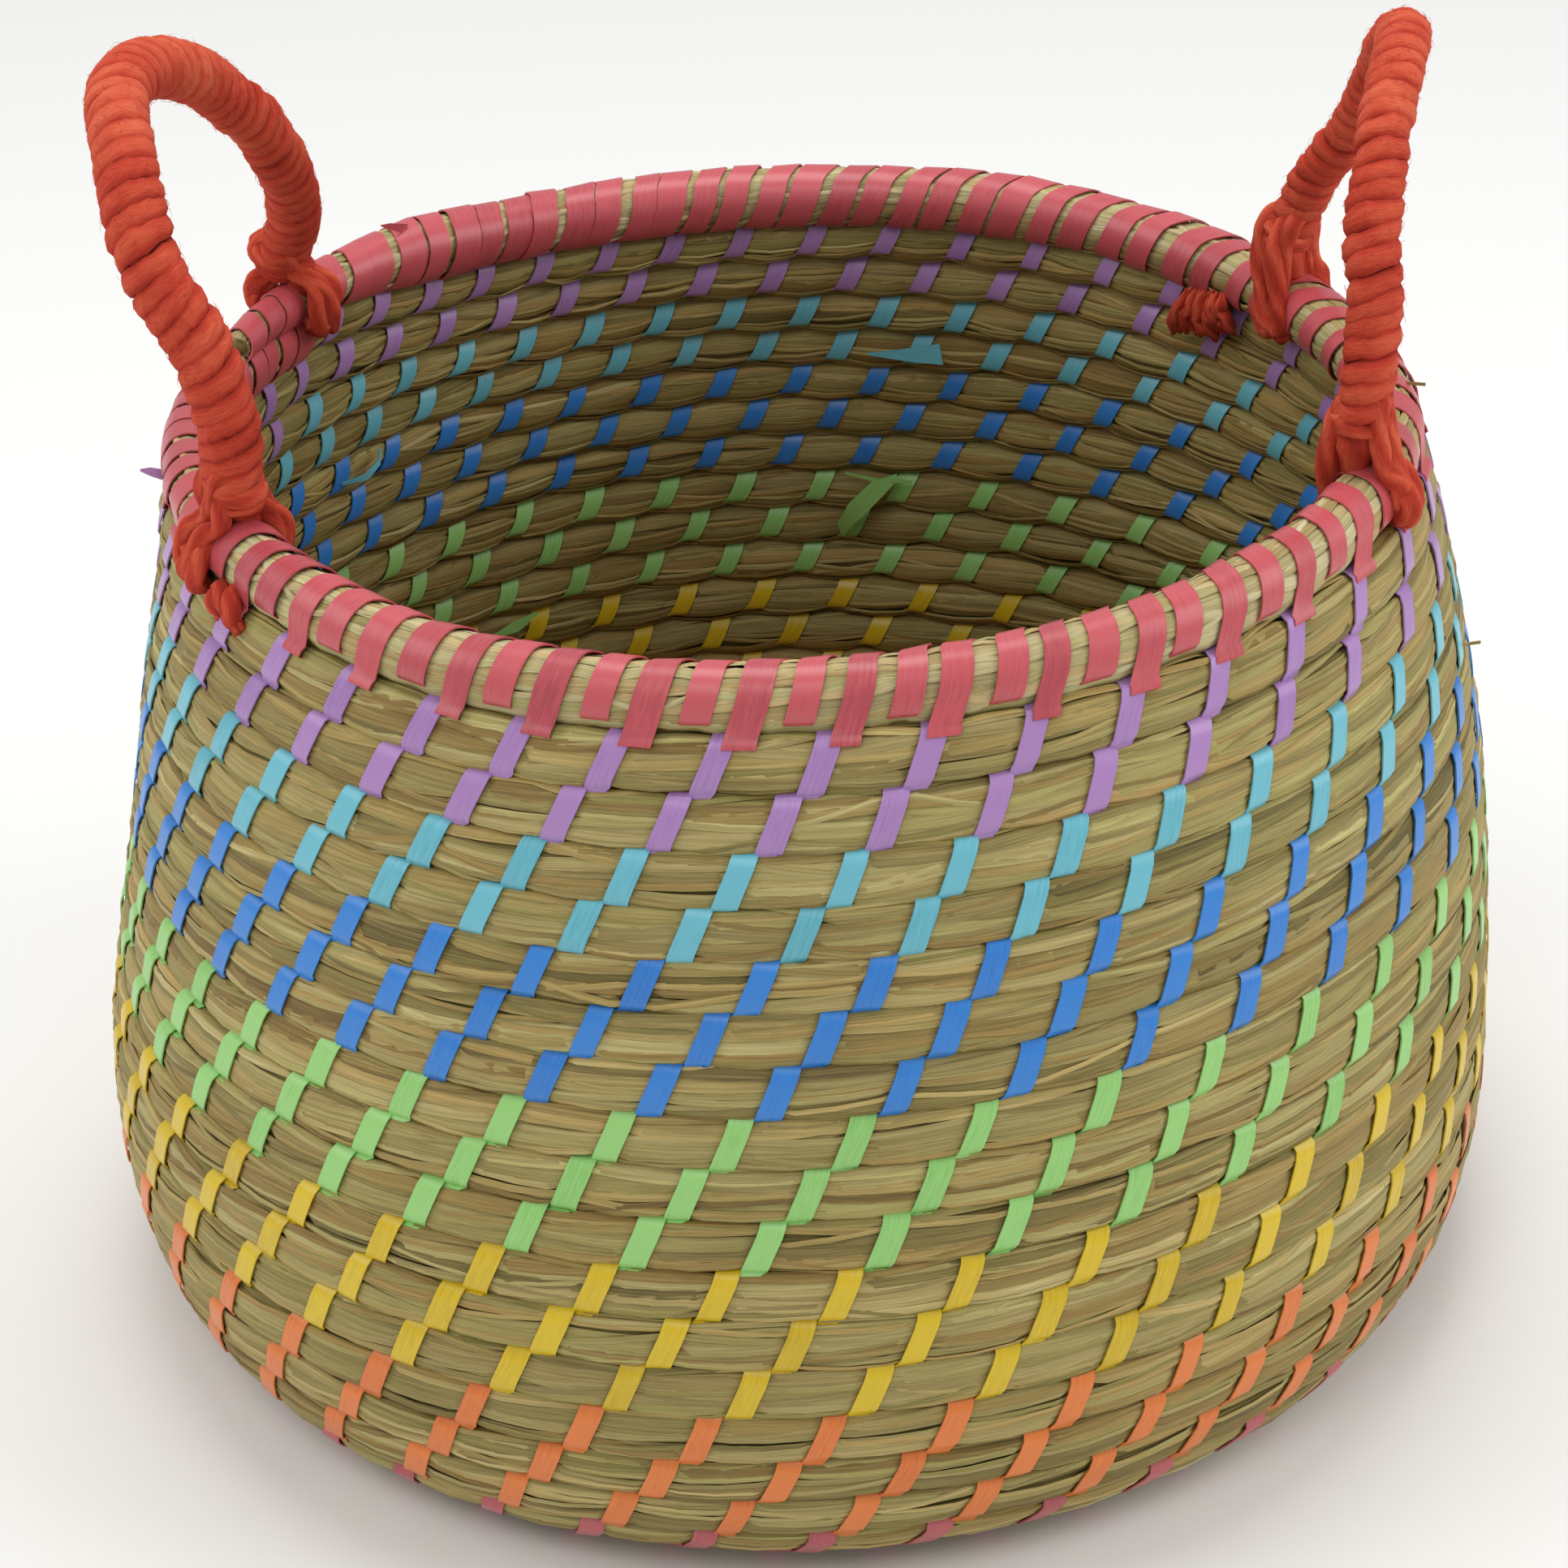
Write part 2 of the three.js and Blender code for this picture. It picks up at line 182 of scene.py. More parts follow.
def section_table(powers):
    """Unit points and normals at each degree, evenly spaced along each quarter."""
    points = []
    for quarter, power in enumerate(powers):
        fine = np.linspace(0, math.pi / 2, 400)
        across = np.cos(fine) ** (2 / power)
        up = np.sin(fine) ** (2 / power)
        if quarter % 2:
            across, up = across[::-1], up[::-1]
        run = np.concatenate([[0], np.cumsum(np.hypot(np.diff(across), np.diff(up)))])
        even = np.linspace(0, run[-1], 90, endpoint=False)
        side = 1 if quarter in (0, 3) else -1
        rise = 1 if quarter < 2 else -1
        quarter_points = [side * np.interp(even, run, across), rise * np.interp(even, run, up)]
        points.append(np.stack(quarter_points, -1))
    table = np.concatenate(points)
    slope = np.roll(table, -2, 0) - np.roll(table, 2, 0)
    normal = np.stack([slope[:, 1], -slope[:, 0]], -1)
    return np.concatenate([table, unit(normal)], 1)


wall_section = section_table((outer_power, round_power, round_power, outer_power))
rim_section = section_table((round_power,) * 4)


def section_at(turn, around):
    """The section's unit point and normal at an angle in degrees, 0 outside and 90 on top."""
    place = np.mod(around, 360)
    low = np.floor(place).astype(int) % 360
    share = (place - np.floor(place))[..., None]
    high = (low + 1) % 360
    tables = (wall_section, rim_section)
    wall, rim = (table[low] * (1 - share) + table[high] * share for table in tables)
    on_rim = np.clip((turn - rim_start) / (3 * tip_turns), 0, 1)[..., None]
    both = wall * (1 - on_rim) + rim * on_rim
    return both[..., :2], both[..., 2:]


print("outer corner reaches", section_at(np.array(5.0), np.array(45.0))[0].round(2))

# %% [markdown]
# ## Where the stitches are
# A stitch goes in at every place where the count below is a whole number. There are nearly
# 42 to a turn, so each row's stitches stand 0.38 of a spacing further round than the row
# below, and the colours climb the wall in slanted chains. Each stitch leans as it goes
# round the row, because the strap winds on like a screw thread.

# %% Stitch count and lean
stitches_per_turn = 41.62
count_wave = 0.9
count_cross = 0.05
count_start = 0.466
outer_lean = 4.6 * mm
inner_lean = 6.4 * mm
inner_shift = 8.0 * mm
halved_radius = 80 * mm
quartered_radius = 36 * mm


def hand_drift(turn):
    """The maker's stitches drift a little along the upper rows, most at the front left."""
    down = last_turn - np.asarray(turn, float)
    strength = np.interp(down, [0, 1.6, 2.4, 4.5, 7.2], [1.5, 1.4, 1.0, 0.95, 0.0])
    angle = azimuth_at(turn)
    front = (1 - np.sin(angle)) / 2
    back = np.interp(down, [0.9, 1.1, 3, 6, 9, 12], [0.13, 0.4, 0.33, 0.2, 0.1, 0]) * (1 - front)
    return 0.19 * strength * front * np.cos(2 * (angle - math.radians(243))) + back


def stitch_count(turn):
    """Stitches up to a turn. They stand closer together on one side than on the other."""
    share = math.tau * (np.asarray(turn, float) - last_turn)
    even = stitches_per_turn * (turn - last_turn)
    even = even + count_wave * np.sin(share) - count_cross * np.cos(share)
    return even - count_start - hand_drift(turn)


def stitch_spacing(turn):
    share = math.tau * (np.asarray(turn, float) - last_turn)
    rate = stitches_per_turn + count_wave * math.tau * np.cos(share)
    return math.tau * np.maximum(radius_at(turn), 2 * mm) / rate


def stitch_step(turn):
    """Near the middle of the base only every second or fourth place has a stitch."""
    radius = radius_at(turn)
    step = np.where(radius < quartered_radius, 4, np.where(radius < halved_radius, 2, 1))
    return np.where(turn > rim_start, 0.5, step)


def smooth_step(x):
    x = np.clip(x, 0, 1)
    return x * x * (3 - 2 * x)


def lean_at(turn, around):
    """How far along the row the strap has moved on, at an angle round the section."""
    wrapped = np.mod(np.asarray(around) + 90, 360) - 90
    up = section_at(turn, wrapped)[0][..., 1]
    inside = smooth_step((wrapped - 65) / 50)
    shift = (1 - inside) * outer_lean / 2 * up + inside * (inner_shift - inner_lean / 2 * up)
    rim_share = 0.9 - 0.35 * np.cos(azimuth_at(turn) - math.radians(190))
    return shift * np.where(turn > rim_start, rim_share, 1.0)


def stitch_distance(turn, around):
    """Along the row to the nearest stitch, for a point on the bundle."""
    spacing = stitch_spacing(turn)
    step = stitch_step(turn)
    place = (stitch_count(turn) - lean_at(turn, around) / spacing) / step
    return (place - np.round(place)) * step * spacing


def turns_of(fine, counts):
    """The turns at which a rising count is a whole number, and those numbers."""
    whole = np.arange(math.ceil(counts[0]), math.floor(counts[-1]) + 1)
    return np.interp(whole, counts, fine), whole


fine = np.linspace(first_turn, rim_start, 60001)
stitch_turns, numbers = turns_of(fine, stitch_count(fine))
stitch_turns = stitch_turns[numbers % stitch_step(stitch_turns) == 0]
fine = np.linspace(rim_start + 0.1 * tip_turns, last_turn + 0.9 * tip_turns, 8001)
wrap_turns, numbers = turns_of(fine, 2 * stitch_count(fine))
long_wraps, short_wraps = wrap_turns[numbers % 2 == 0], wrap_turns[numbers % 2 == 1]
knots = np.concatenate([[first_turn], stitch_turns, wrap_turns, [bundle_end]])
print("stitches:", len(stitch_turns), "rim wraps:", len(wrap_turns))


# %% [markdown]
# ## A point on the bundle
# The bundle is drawn in under every stitch and bulges between them. One function turns a
# place on the coil (turn, angle round the section, height above the surface) into a point
# in space, and everything that lies on the basket is placed by it.

# %% The bundle's surface
rim_extra = 0.8 * mm
pinch = 0.9 * mm
pinch_reach = 4.2 * mm
bulge = 0.3 * mm
ground_film = 0.9 * mm


def bundle_size(turn):
    """Half depth, half height and middle of the section. The rim swells and then thins."""
    turn = np.asarray(turn, float)
    swell = rim_extra * np.clip((turn - rim_start - tip_turns) / (2 * tip_turns), 0, 1)
    thin = np.clip((turn - last_turn + tip_turns) / (2 * tip_turns), 0, 1)
    half_depth = 5.3 * mm + swell - thin * 3.4 * mm
    half_height = 5.75 * mm + swell - thin * 4.2 * mm
    middle = swell - thin * 4.6 * mm
    wave = 0.12 * mm * np.sin(turn * 61.7) + 0.1 * mm * np.sin(turn * 101.3 + 2)
    return half_depth + wave, half_height + wave, middle


def coil_point(turn, around, lift=0.0):
    """A point at an angle round the bundle and a height above it, kept above the ground."""
    centre, outward, upward = coil_frame(turn)
    half_depth, half_height, middle = bundle_size(turn)
    point, normal = section_at(turn, around)
    deeper = 1 + 0.7 * np.clip(-point[..., 0], 0, 1)
    deeper = deeper * np.where(turn > rim_start, 0.45, 1.0)
    drawn_in = pinch * deeper * np.exp(-((stitch_distance(turn, around) / pinch_reach) ** 2))
    lift = lift - drawn_in + bulge
    out = point[..., 0] * half_depth + normal[..., 0] * lift
    up = middle + point[..., 1] * half_height + normal[..., 1] * lift
    place = centre + outward * out[..., None] + upward * up[..., None]
    low = place[..., 2]
    film = ground_film * np.exp(np.minimum(low / ground_film - 1, 0))
    place[..., 2] = np.where(low < ground_film, film, low)
    return place


print("front of the rim:", coil_point(np.array(last_turn - 2 / 3), np.array(0.0)).round(4))

# %% [markdown]
# ## One shape, repeated
# A blade, a stitch and a strand of yarn are all a thin rod, bent another way each time. So
# bmesh makes one straight rod with spin, and a mesh is filled with copies of it, each laid
# along its own path. That is how thousands of blades stay quick to make.


# %% A straight rod, and a mesh made of many bent ones
def rod(sides, steps):
    """A closed rod of radius 1 from z = 0 to z = 1: x, y, z and ring of its points, and faces."""
    shape = bmesh.new()
    ring = bmesh.ops.create_circle(shape, segments=sides, radius=1)
    half_side = Matrix.Rotation(math.pi / sides, 3, "Z")
    bmesh.ops.rotate(shape, verts=ring["verts"], cent=(0, 0, 0), matrix=half_side)
    bmesh.ops.spin(
        shape, geom=shape.verts[:] + shape.edges[:], cent=(0, 0, 0), axis=(0, 0, 1),
        dvec=(0, 0, 1 / steps), angle=0, steps=steps, use_merge=False, use_duplicate=False,
    )
    bmesh.ops.holes_fill(shape, edges=shape.edges[:], sides=0)
    bmesh.ops.recalc_face_normals(shape, faces=shape.faces[:])
    x, y, z = np.array([v.co for v in shape.verts]).T
    faces = [[v.index for v in face.verts] for face in shape.faces]
    shape.free()
    return x, y, z, np.rint(z * steps).astype(int), faces


def add_object(name, data):
    piece = bpy.data.objects.new(name, data)
    bpy.context.scene.collection.objects.link(piece)
    return piece


def copies_mesh(name, template, places, uv, tint, crease=None):
    """A mesh object holding one copy of the template for each row of places."""
    faces = template[-1]
    copies, count = places.shape[:2]
    if signed_volume(places[copies // 2], faces) < 0:
        faces = [face[::-1] for face in faces]
    totals = np.array([len(face) for face in faces])
    loops = np.concatenate([np.array(face) for face in faces])
    corner = np.add.outer(count * np.arange(copies), loops).ravel()
    starts = np.concatenate([[0], np.cumsum(totals)[:-1]])
    starts = np.add.outer(len(loops) * np.arange(copies), starts).ravel()
    mesh = bpy.data.meshes.new(name)
    mesh.vertices.add(copies * count)
    mesh.vertices.foreach_set("co", places.astype(np.float32).ravel())
    mesh.loops.add(len(corner))
    mesh.loops.foreach_set("vertex_index", corner)
    mesh.polygons.add(len(starts))
    mesh.polygons.foreach_set("loop_start", starts)
    mesh.update(calc_edges=True)
    layer = mesh.uv_layers.new(name="UVMap")
    layer.uv.foreach_set("vector", uv.reshape(-1, 2)[corner].astype(np.float32).ravel())
    tint = np.repeat(tint, count) if tint.size == copies else tint.ravel()
    values = mesh.attributes.new("tint", "FLOAT", "POINT")
    values.data.foreach_set("value", tint.astype(np.float32))
    mesh.shade_smooth()
    if crease is not None:
        mesh.set_sharp_from_angle(angle=math.radians(crease))
    return add_object(name, mesh)


def signed_volume(points, faces):
    """Positive where the faces look outwards."""
    corners = [(face[0], *pair) for face in faces for pair in zip(face[1:-1], face[2:])]
    return np.linalg.det(points[np.array(corners)]).sum()


print("a blade's rod has", len(rod(6, 12)[0]), "points")

# %% [markdown]
# ## Colours and nodes
# Colours are written as sRGB hex values, as an eye would pick them, and turned to linear
# light by one function. One function adds a node, sets its values and links its inputs. All
# finishes here are made the same way: the tint of each copy and some noises are added up, a
# ramp turns the sum into a colour, and one of the noises gives the bump.


# %% Colour and node helpers
def colour(hex_value):
    parts = [int(hex_value[i : i + 2], 16) / 255 for i in (1, 3, 5)]
    linear = [p / 12.92 if p <= 0.04045 else ((p + 0.055) / 1.055) ** 2.4 for p in parts]
    return (*linear, 1.0)


def add_node(tree, kind, inputs=None, **settings):
    """Adds a shader node. An input is a plain value, or another node's output to link."""
    node = tree.nodes.new(f"ShaderNode{kind}")
    for name, value in settings.items():
        setattr(node, name, value)
    for name, value in (inputs or {}).items():
        if isinstance(value, bpy.types.NodeSocket):
            tree.links.new(value, node.inputs[name])
        else:
            node.inputs[name].default_value = value
    return node


def new_material(name):
    """A material, its node tree, its UV map and the tint of each copy."""
    material = bpy.data.materials.new(name)
    material.use_nodes = True
    tree = material.node_tree
    tree.nodes.clear()
    uv = add_node(tree, "UVMap", uv_map="UVMap").outputs["UV"]
    tint = add_node(tree, "Attribute", attribute_name="tint").outputs["Fac"]
    return material, tree, uv, tint


def maths(tree, operation, *values):
    return add_node(tree, "Math", dict(enumerate(values)), operation=operation).outputs[0]


def patches(tree, scale):
    """Broad noise over the whole object."""
    spot = add_node(tree, "TexCoord").outputs["Object"]
    values = {"Vector": spot, "Scale": scale, "Detail": 2.0}
    return add_node(tree, "TexNoise", values).outputs["Fac"]


def streaks(tree, uv, along, across, detail, slant=0.0):
    """Noise drawn out along each copy, with so many grains to the metre along and across."""
    values = {"Vector": uv, "Scale": (along, across, 1), "Rotation": (0, 0, slant)}
    stretched = add_node(tree, "Mapping", values).outputs[0]
    values = {"Vector": stretched, "Scale": 1.0, "Detail": detail}
    return add_node(tree, "TexNoise", values).outputs["Fac"]


def added_up(tree, tint, tint_weight, layers, less=0.0):
    """The tint and each (weight, noise) layer added up, and a little taken off."""
    total = maths(tree, "MULTIPLY", tint, tint_weight)
    for weight, layer in layers:
        total = maths(tree, "MULTIPLY_ADD", layer, weight, total)
    return maths(tree, "SUBTRACT", total, less)


def ramp_colour(tree, shade, stops):
    """A colour ramp through (place, hex colour) stops."""
    ramp = add_node(tree, "ValToRGB", {"Fac": shade})
    elements = ramp.color_ramp.elements
    while len(elements) < len(stops):
        elements.new(1)
    for element, (place, hex_value) in zip(elements, stops):
        element.position = place
        element.color = colour(hex_value)
    return ramp.outputs["Color"]


def add_surface(tree, looks, bump=None):
    """The last shader. A bump is its strength, its distance and the noise that drives it."""
    if bump is not None:
        values = dict(zip(("Strength", "Distance", "Height"), bump))
        looks = {**looks, "Normal": add_node(tree, "Bump", values).outputs[0]}
    shader = add_node(tree, "BsdfPrincipled", looks)
    add_node(tree, "OutputMaterial", {"Surface": shader.outputs[0]})


print("mid straw in linear light:", [round(c, 3) for c in colour("#A8986B")])

# %% [markdown]
# ## Seagrass
# Dried seagrass is a flat, papery blade. It dries unevenly from grey-green through tan to
# pale straw, each blade its own colour. Its veins run along it about 0.4 mm apart, and it
# creases as it is twisted. The colour comes from each blade's own tint, the veins from the
# blade's own UV map, and broad noise adds the patches that a whole bundle shares.

# %% Seagrass material
hues = [(0.0, "#EEF4DA"), (0.45, "#FFFFFF"), (0.7, "#FFF6E4"), (1.0, "#F6E2C8")]


def seagrass_material(name, roughness, stops):
    """Papery dried grass: dull, with a faint shine along the veins."""
    material, tree, uv, tint = new_material(name)
    patch = patches(tree, 30.0)
    streak = streaks(tree, uv, 30, 1900, 3.0)
    vein = streaks(tree, uv, 90, 5200, 2.0)
    shade = added_up(tree, tint, 0.6, [(0.2, patch), (0.65, streak), (0.45, vein)], 0.45)
    straw = ramp_colour(tree, shade, stops)
    blade_kind = maths(tree, "FRACT", maths(tree, "MULTIPLY", tint, 23.0))
    colours = {0: 1.0, 6: straw, 7: ramp_colour(tree, blade_kind, hues)}
    grass = add_node(tree, "Mix", colours, data_type="RGBA", blend_type="MULTIPLY")
    height = maths(tree, "MULTIPLY_ADD", streak, 0.6, vein)
    looks = {"Base Color": grass.outputs[2], "Roughness": roughness, "IOR": 1.45}
    add_surface(tree, looks, (0.8, 0.3 * mm, height))
    return material


dried_seagrass = seagrass_material(
    "dried_seagrass", 0.6,
    [(0.0, "#4C3A1A"), (0.25, "#7E6D3B"), (0.5, "#A09058"), (0.75, "#BEAE74"), (1.0, "#E0D3A2")],
)
pale_seagrass = seagrass_material(
    "pale_seagrass", 0.55,
    [(0.0, "#6E5C34"), (0.25, "#9C8C5C"), (0.5, "#B8AA7C"), (0.75, "#CEC298"), (1.0, "#E4DAB4")],
)
# Painted shade: the core is painted darker than the blades, as the shade in the gaps between them.
seagrass_core = seagrass_material(
    "seagrass_core", 0.8, [(0.0, "#544422"), (0.5, "#80703F"), (1.0, "#A08E58")]
)
print("materials:", len(bpy.data.materials))

# %% [markdown]
# ## Blades of grass
# The bundle is twisted as it is fed in, so its blades lie in lanes that turn slowly round
# it. Each blade runs for four stitches, and both its ends are hidden under a strap. It
# overlaps the next one like a roof tile, and it bulges out between the stitches. A core
# fills the bundle, so no light passes between the blades, and it is painted darker than
# them as painted shade in the gaps.

# %% Sizes of the blades
blade_gaps = 4
ring_places = np.array([0, 0.2, 0.5, 0.8])
ring_press = np.array([1, 0.3, 0, 0.3])
gap_rings = len(ring_places)
blade_rings = gap_rings * blade_gaps
blade_rod = rod(6, blade_rings)
blade_thick = 0.5 * mm
end_sink = 0.7 * mm
twist = 5  # degrees at each stitch
least_width = np.array([3.6, 1.9, 0.9])  # in mm, for broad, plain and narrow blades
width_range = np.array([1.35, 1.65, 1.65])
usual_lift = np.array([0.03, 0.18, 0.32])
wander_degrees = np.array([2.5, 6, 9])
print("rings on a blade:", blade_rings)


# %% The shape of each blade
def blade_shapes(lane, thin_share):
    """Kind, width, thickness, lift and tilt of each blade.

    Two lanes in five hold broad blades that cover the core, and the rest lie over them.
    """
    number = len(lane)
    wide = lane % 5 < 2
    thin = ~wide & (rng.random(number) < thin_share)
    kind = np.where(wide, 0, np.where(thin, 2, 1))
    width = least_width[kind] * rng.uniform(1, width_range[kind]) * mm
    thick = np.where(thin, 0.55 * width, blade_thick)
    lift = usual_lift[kind] * rng.uniform(0.5, 1.5, number) * mm
    tilt = np.where(thin, 0.05, rng.uniform(0.09, 0.2, number)) * width / 2
    return kind, *(size[:, None] for size in (width, thick, lift, tilt))


print("widths in mm:", least_width, "to", least_width * width_range)


# %% A length of grass, and a length of core
def lay_blades(name, first, last, lanes, thin_share):
    """Blades that start at the stitches from first to last, in so many lanes."""
    begin = first - blade_gaps + 1 if first == 0 else first
    lane, start = np.meshgrid(np.arange(lanes), np.arange(begin, last), indexing="ij")
    chosen = (start + lane * 7) % blade_gaps == 0
    lane = lane[chosen]
    start = np.clip(start[chosen], 0, len(knots) - 1 - blade_gaps)[:, None]
    number = len(lane)
    kind, width, thick, lift, tilt = blade_shapes(lane, thin_share)
    x, y, _, ring, _ = blade_rod
    gap = np.minimum(ring // gap_rings, blade_gaps - 1)
    share = np.append(np.tile(ring_places, blade_gaps), 1.0)[ring]
    press = np.append(np.tile(ring_press, blade_gaps), 1.0)[ring]
    before, after = knots[start + gap], knots[start + gap + 1]
    along = before + share * (after - before)
    angle = 360 * (lane + rng.uniform(-0.35, 0.35, number)) / lanes
    wander = rng.normal(0, 1, (number, blade_gaps + 1)) * wander_degrees[kind][:, None]
    ease = smooth_step(share)
    step_ahead = np.minimum(gap + 1, blade_gaps)
    angle = angle[:, None] + twist * (start + ring / gap_rings)
    angle = angle + wander[:, gap] * (1 - ease) + wander[:, step_ahead] * ease
    girth = math.tau * np.maximum(radius_at(along), 4 * mm)
    along = along + lean_at(along, angle) / girth
    along = np.clip(along, first_turn, bundle_end)
    end = np.where((ring == 0) | (ring == blade_rings), 1.0, 0.0)
    across = x * (1 - 0.55 * end) * (width / 2)
    raised = lift * (1 - 0.7 * press) - tilt * x + y * (thick / 2)
    place = coil_point(along, angle + across / quarter_run * 90, raised - end_sink * end)
    tint = np.clip(rng.normal(0.5, 0.2, number), 0, 1)
    offset = rng.uniform(0, 9, (2, number, 1))
    run = (along - along[:, :1]) * girth
    uv = np.stack([run + offset[0], across + offset[1]], -1)
    return copies_mesh(name, blade_rod, place, uv, tint, crease=50)


def lay_core(name, start, end):
    """The inside of the bundle, a closed tube a little thinner than it, painted dark as the shade between
    the blades.
    """
    steps = int((end - start) * 120)
    core_rod = rod(10, steps)
    x, y, z, _, _ = core_rod
    along = start + (end - start) * z
    place = coil_point(along, np.degrees(np.arctan2(y, x)), -0.45 * mm)[None]
    uv = np.stack([along, x * mm], -1)[None]
    return copies_mesh(name, core_rod, place, uv, np.array([0.4]))


def finish_piece(piece, material, body="basket", replaced=()):
    """The piece's finish, the body it moves with and the solids it stands for."""
    piece.data.materials.append(material)
    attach(piece, body)
    if replaced:
        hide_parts(*replaced)
    return piece


print("a blade runs for", blade_gaps, "stitches")

# %% Grass for each length of the coil
grass_lengths = [  # name, last turn and lanes, each from the end of the one before it
    ("base_middle", heel_start - 2.9, 20),
    ("base_edge", heel_start, 20),
    ("lower_heel", wall_start - 3, 25),
    ("upper_heel", wall_start, 25),
    ("belly", wall_start + 2.6, 30),
    ("lower_wall", wall_start + 5.2, 30),
    ("middle_wall", wall_start + 7.8, 30),
    ("upper_wall", wall_start + 10.4, 30),
    ("shoulder", rim_start, 30),
    ("rim", bundle_end, 30),
]
start = first_turn
for part, end, lanes in grass_lengths:
    grass, slot, thin_share = dried_seagrass, "seagrass", 0.6
    if part == "rim":
        grass, slot, thin_share = pale_seagrass, "bound_rim", 0.3
    first, last = np.searchsorted(knots, (start, end))
    blades = lay_blades(f"{part}_grass", first, last, lanes, thin_share)
    finish_piece(blades, grass)
    print(part, "blades:", len(blades.data.vertices) // len(blade_rod[0]))
    start = end

# %% Cores
core_ends = {"base": heel_start, "heel": wall_start, "wall": rim_start, "rim": bundle_end}
start = first_turn
for part, end in core_ends.items():
    slot = "bound_rim" if part == "rim" else "seagrass"
    finish_piece(lay_core(f"{part}_core", start, end), seagrass_core, replaced=[f"{part}_coil"])
    start = end
print("cores laid:", len(core_ends))

# %% [markdown]
# ## Strap
# The stitches are flat polypropylene strap, 5 mm wide and about a third of a millimetre
# thick. It is drawn through rollers, which leaves fine ribs along it and a satin gloss. Its
# dye is even, so only the gloss and the ribs break up the colour.


# %% Strap material
def strap_material(name, hex_value, worn_hex):
    """Rolled polypropylene: satin, and finely ribbed along its length."""
    material, tree, uv, tint = new_material(name)
    ribs = streaks(tree, uv, 200, 1600, 2.0)
    shade = added_up(tree, tint, 0.5, [(1.0, ribs)])
    dye = ramp_colour(tree, shade, [(0.15, worn_hex), (0.85, hex_value)])
    looks = {"Base Color": dye, "Roughness": 0.34, "IOR": 1.49}
    add_surface(tree, looks, (0.12, 0.1 * mm, ribs))
    return material


strap_colours = [  # name, hex, worn hex, and the newest and oldest row of that colour
    ("red", "#BE5F64", "#A04850", 17, 40),
    ("orange", "#E07C3A", "#C96428", 14, 17),
    ("yellow", "#D8B91E", "#B89612", 11, 14),
    ("green", "#96CE76", "#78B45A", 8, 11),
    ("blue", "#3381D2", "#2468BA", 5, 8),
    ("cyan", "#6CBACB", "#529FB0", 3, 5),
    ("purple", "#AB82BC", "#8F68A4", 1, 3),
]
print("strap colours:", [entry[0] for entry in strap_colours])

# %% [markdown]
# ## Stitches
# A stitch is a length of strap laid round one row. Both ends dive between this row and
# the one below. It is the same rod as a blade, with four sides, kept flat and wide.

# %% A strap laid round a row
strap_width = 5 * mm
strap_thick = 0.36 * mm
over_row = 0.7  # mm, and what is lifted more than this lies on top of a row


def lay_straps(name, turns, width, path, spread=0.07, slack=0.0):
    """Straps round the row. The path holds rows down, angle, lift and a shift along, in mm."""
    number = len(turns)
    square = rod(4, len(path) - 1)
    x, y, _, ring, _ = square
    x, y = np.sign(x), np.sign(y)
    rows_down, around, lift, shift = np.array(path, float)[ring].T
    wide = (width * rng.uniform(1 - spread, 1 + spread, number))[:, None]
    row_turn = turns[:, None] - rows_down
    own_side = np.where(rows_down == 0, around, np.where(around < 90, -89, 269))
    lean = lean_at(turns[:, None] + 0 * own_side, own_side + 0 * row_turn)
    moved = rng.normal(0, 3.5 * spread * mm, number)[:, None]
    along_row = lean + x * wide / 2 + shift * mm + moved
    place_turn = row_turn + along_row / (math.tau * radius_at(turns)[:, None])
    raised = lift * mm + y * strap_thick / 2 + 0 * place_turn
    looser, tilted = rng.normal(0, slack * mm, (2, number, 1))
    raised = raised + (np.abs(looser) + 0.6 * x * tilted) * (lift > over_row)
    place = coil_point(place_turn, around + 0 * place_turn, raised)
    uv_along = around / 90 * quarter_run + rng.uniform(0, 9, number)[:, None]
    uv_across = x * wide / 2 + rng.uniform(0, 9, number)[:, None]
    tint = np.clip(rng.normal(0.55, 0.25, number), 0, 1)
    return copies_mesh(name, square, place, np.stack([uv_along, uv_across], -1), tint, crease=60)


print("a strap's rod has", len(rod(4, 20)[0]), "points")

# %% Stitches of each colour
round_row = [(0, around, 1.0, 0) for around in np.linspace(-33, 187, 16)]
outer_end = [(1, 38, -1.6, -1.0), (1, 46, 0.2, -0.7), (0, -46, 0.7, 0)]
inner_end = [(0, 197, 0.9, 0), (0, 206, 0.3, 0), (0, 215, -0.8, 0), (0, 224, -2.0, 0)]
stitch_path = outer_end + round_row + inner_end
for name, hex_value, worn_hex, newest, oldest in strap_colours:
    chosen = (stitch_turns < last_turn - newest) & (stitch_turns >= last_turn - oldest)
    stitches = lay_straps(f"{name}_stitches", stitch_turns[chosen], strap_width, stitch_path)
    finish_piece(stitches, strap_material(f"{name}_strap", hex_value, worn_hex))
    print(name, "stitches:", int(chosen.sum()))

# %% [markdown]
# ## Rim binding
# The last turn is wrapped twice as often, in a wider red strap. Every second wrap is a
# stitch that reaches down over the first row, and the one between just goes round.

# %% Rim wraps
rim_strap = strap_material("rim_strap", "#C4555C", "#9C3A46")
wrap_width = 5.9 * mm
back_width = 7.0 * mm
round_rim = [(0, around, 0.8, 0) for around in np.linspace(-27, 216, 22)]
inner_tuck = [(0, 232, 0.5, 0), (0, 244, -1.2, 0)]
short_end = [(0, -50, -1.4, 0), (0, -38, 0.4, 0)]
long_end = [(1, 24, -1.6, -1.5), (1, 30, 1.3, -1.3), (1, 38, 1.5, -1.0), (1, 44, 1.3, -0.8)]
wrap_kinds = [  # name, turns, path, and how far each is set back at the rear, in stitches
    ("long_rim_wraps", long_wraps, long_end + round_rim[2:] + inner_tuck, 0),
    ("short_rim_wraps", short_wraps, short_end + round_rim + inner_tuck, 0.05),
]
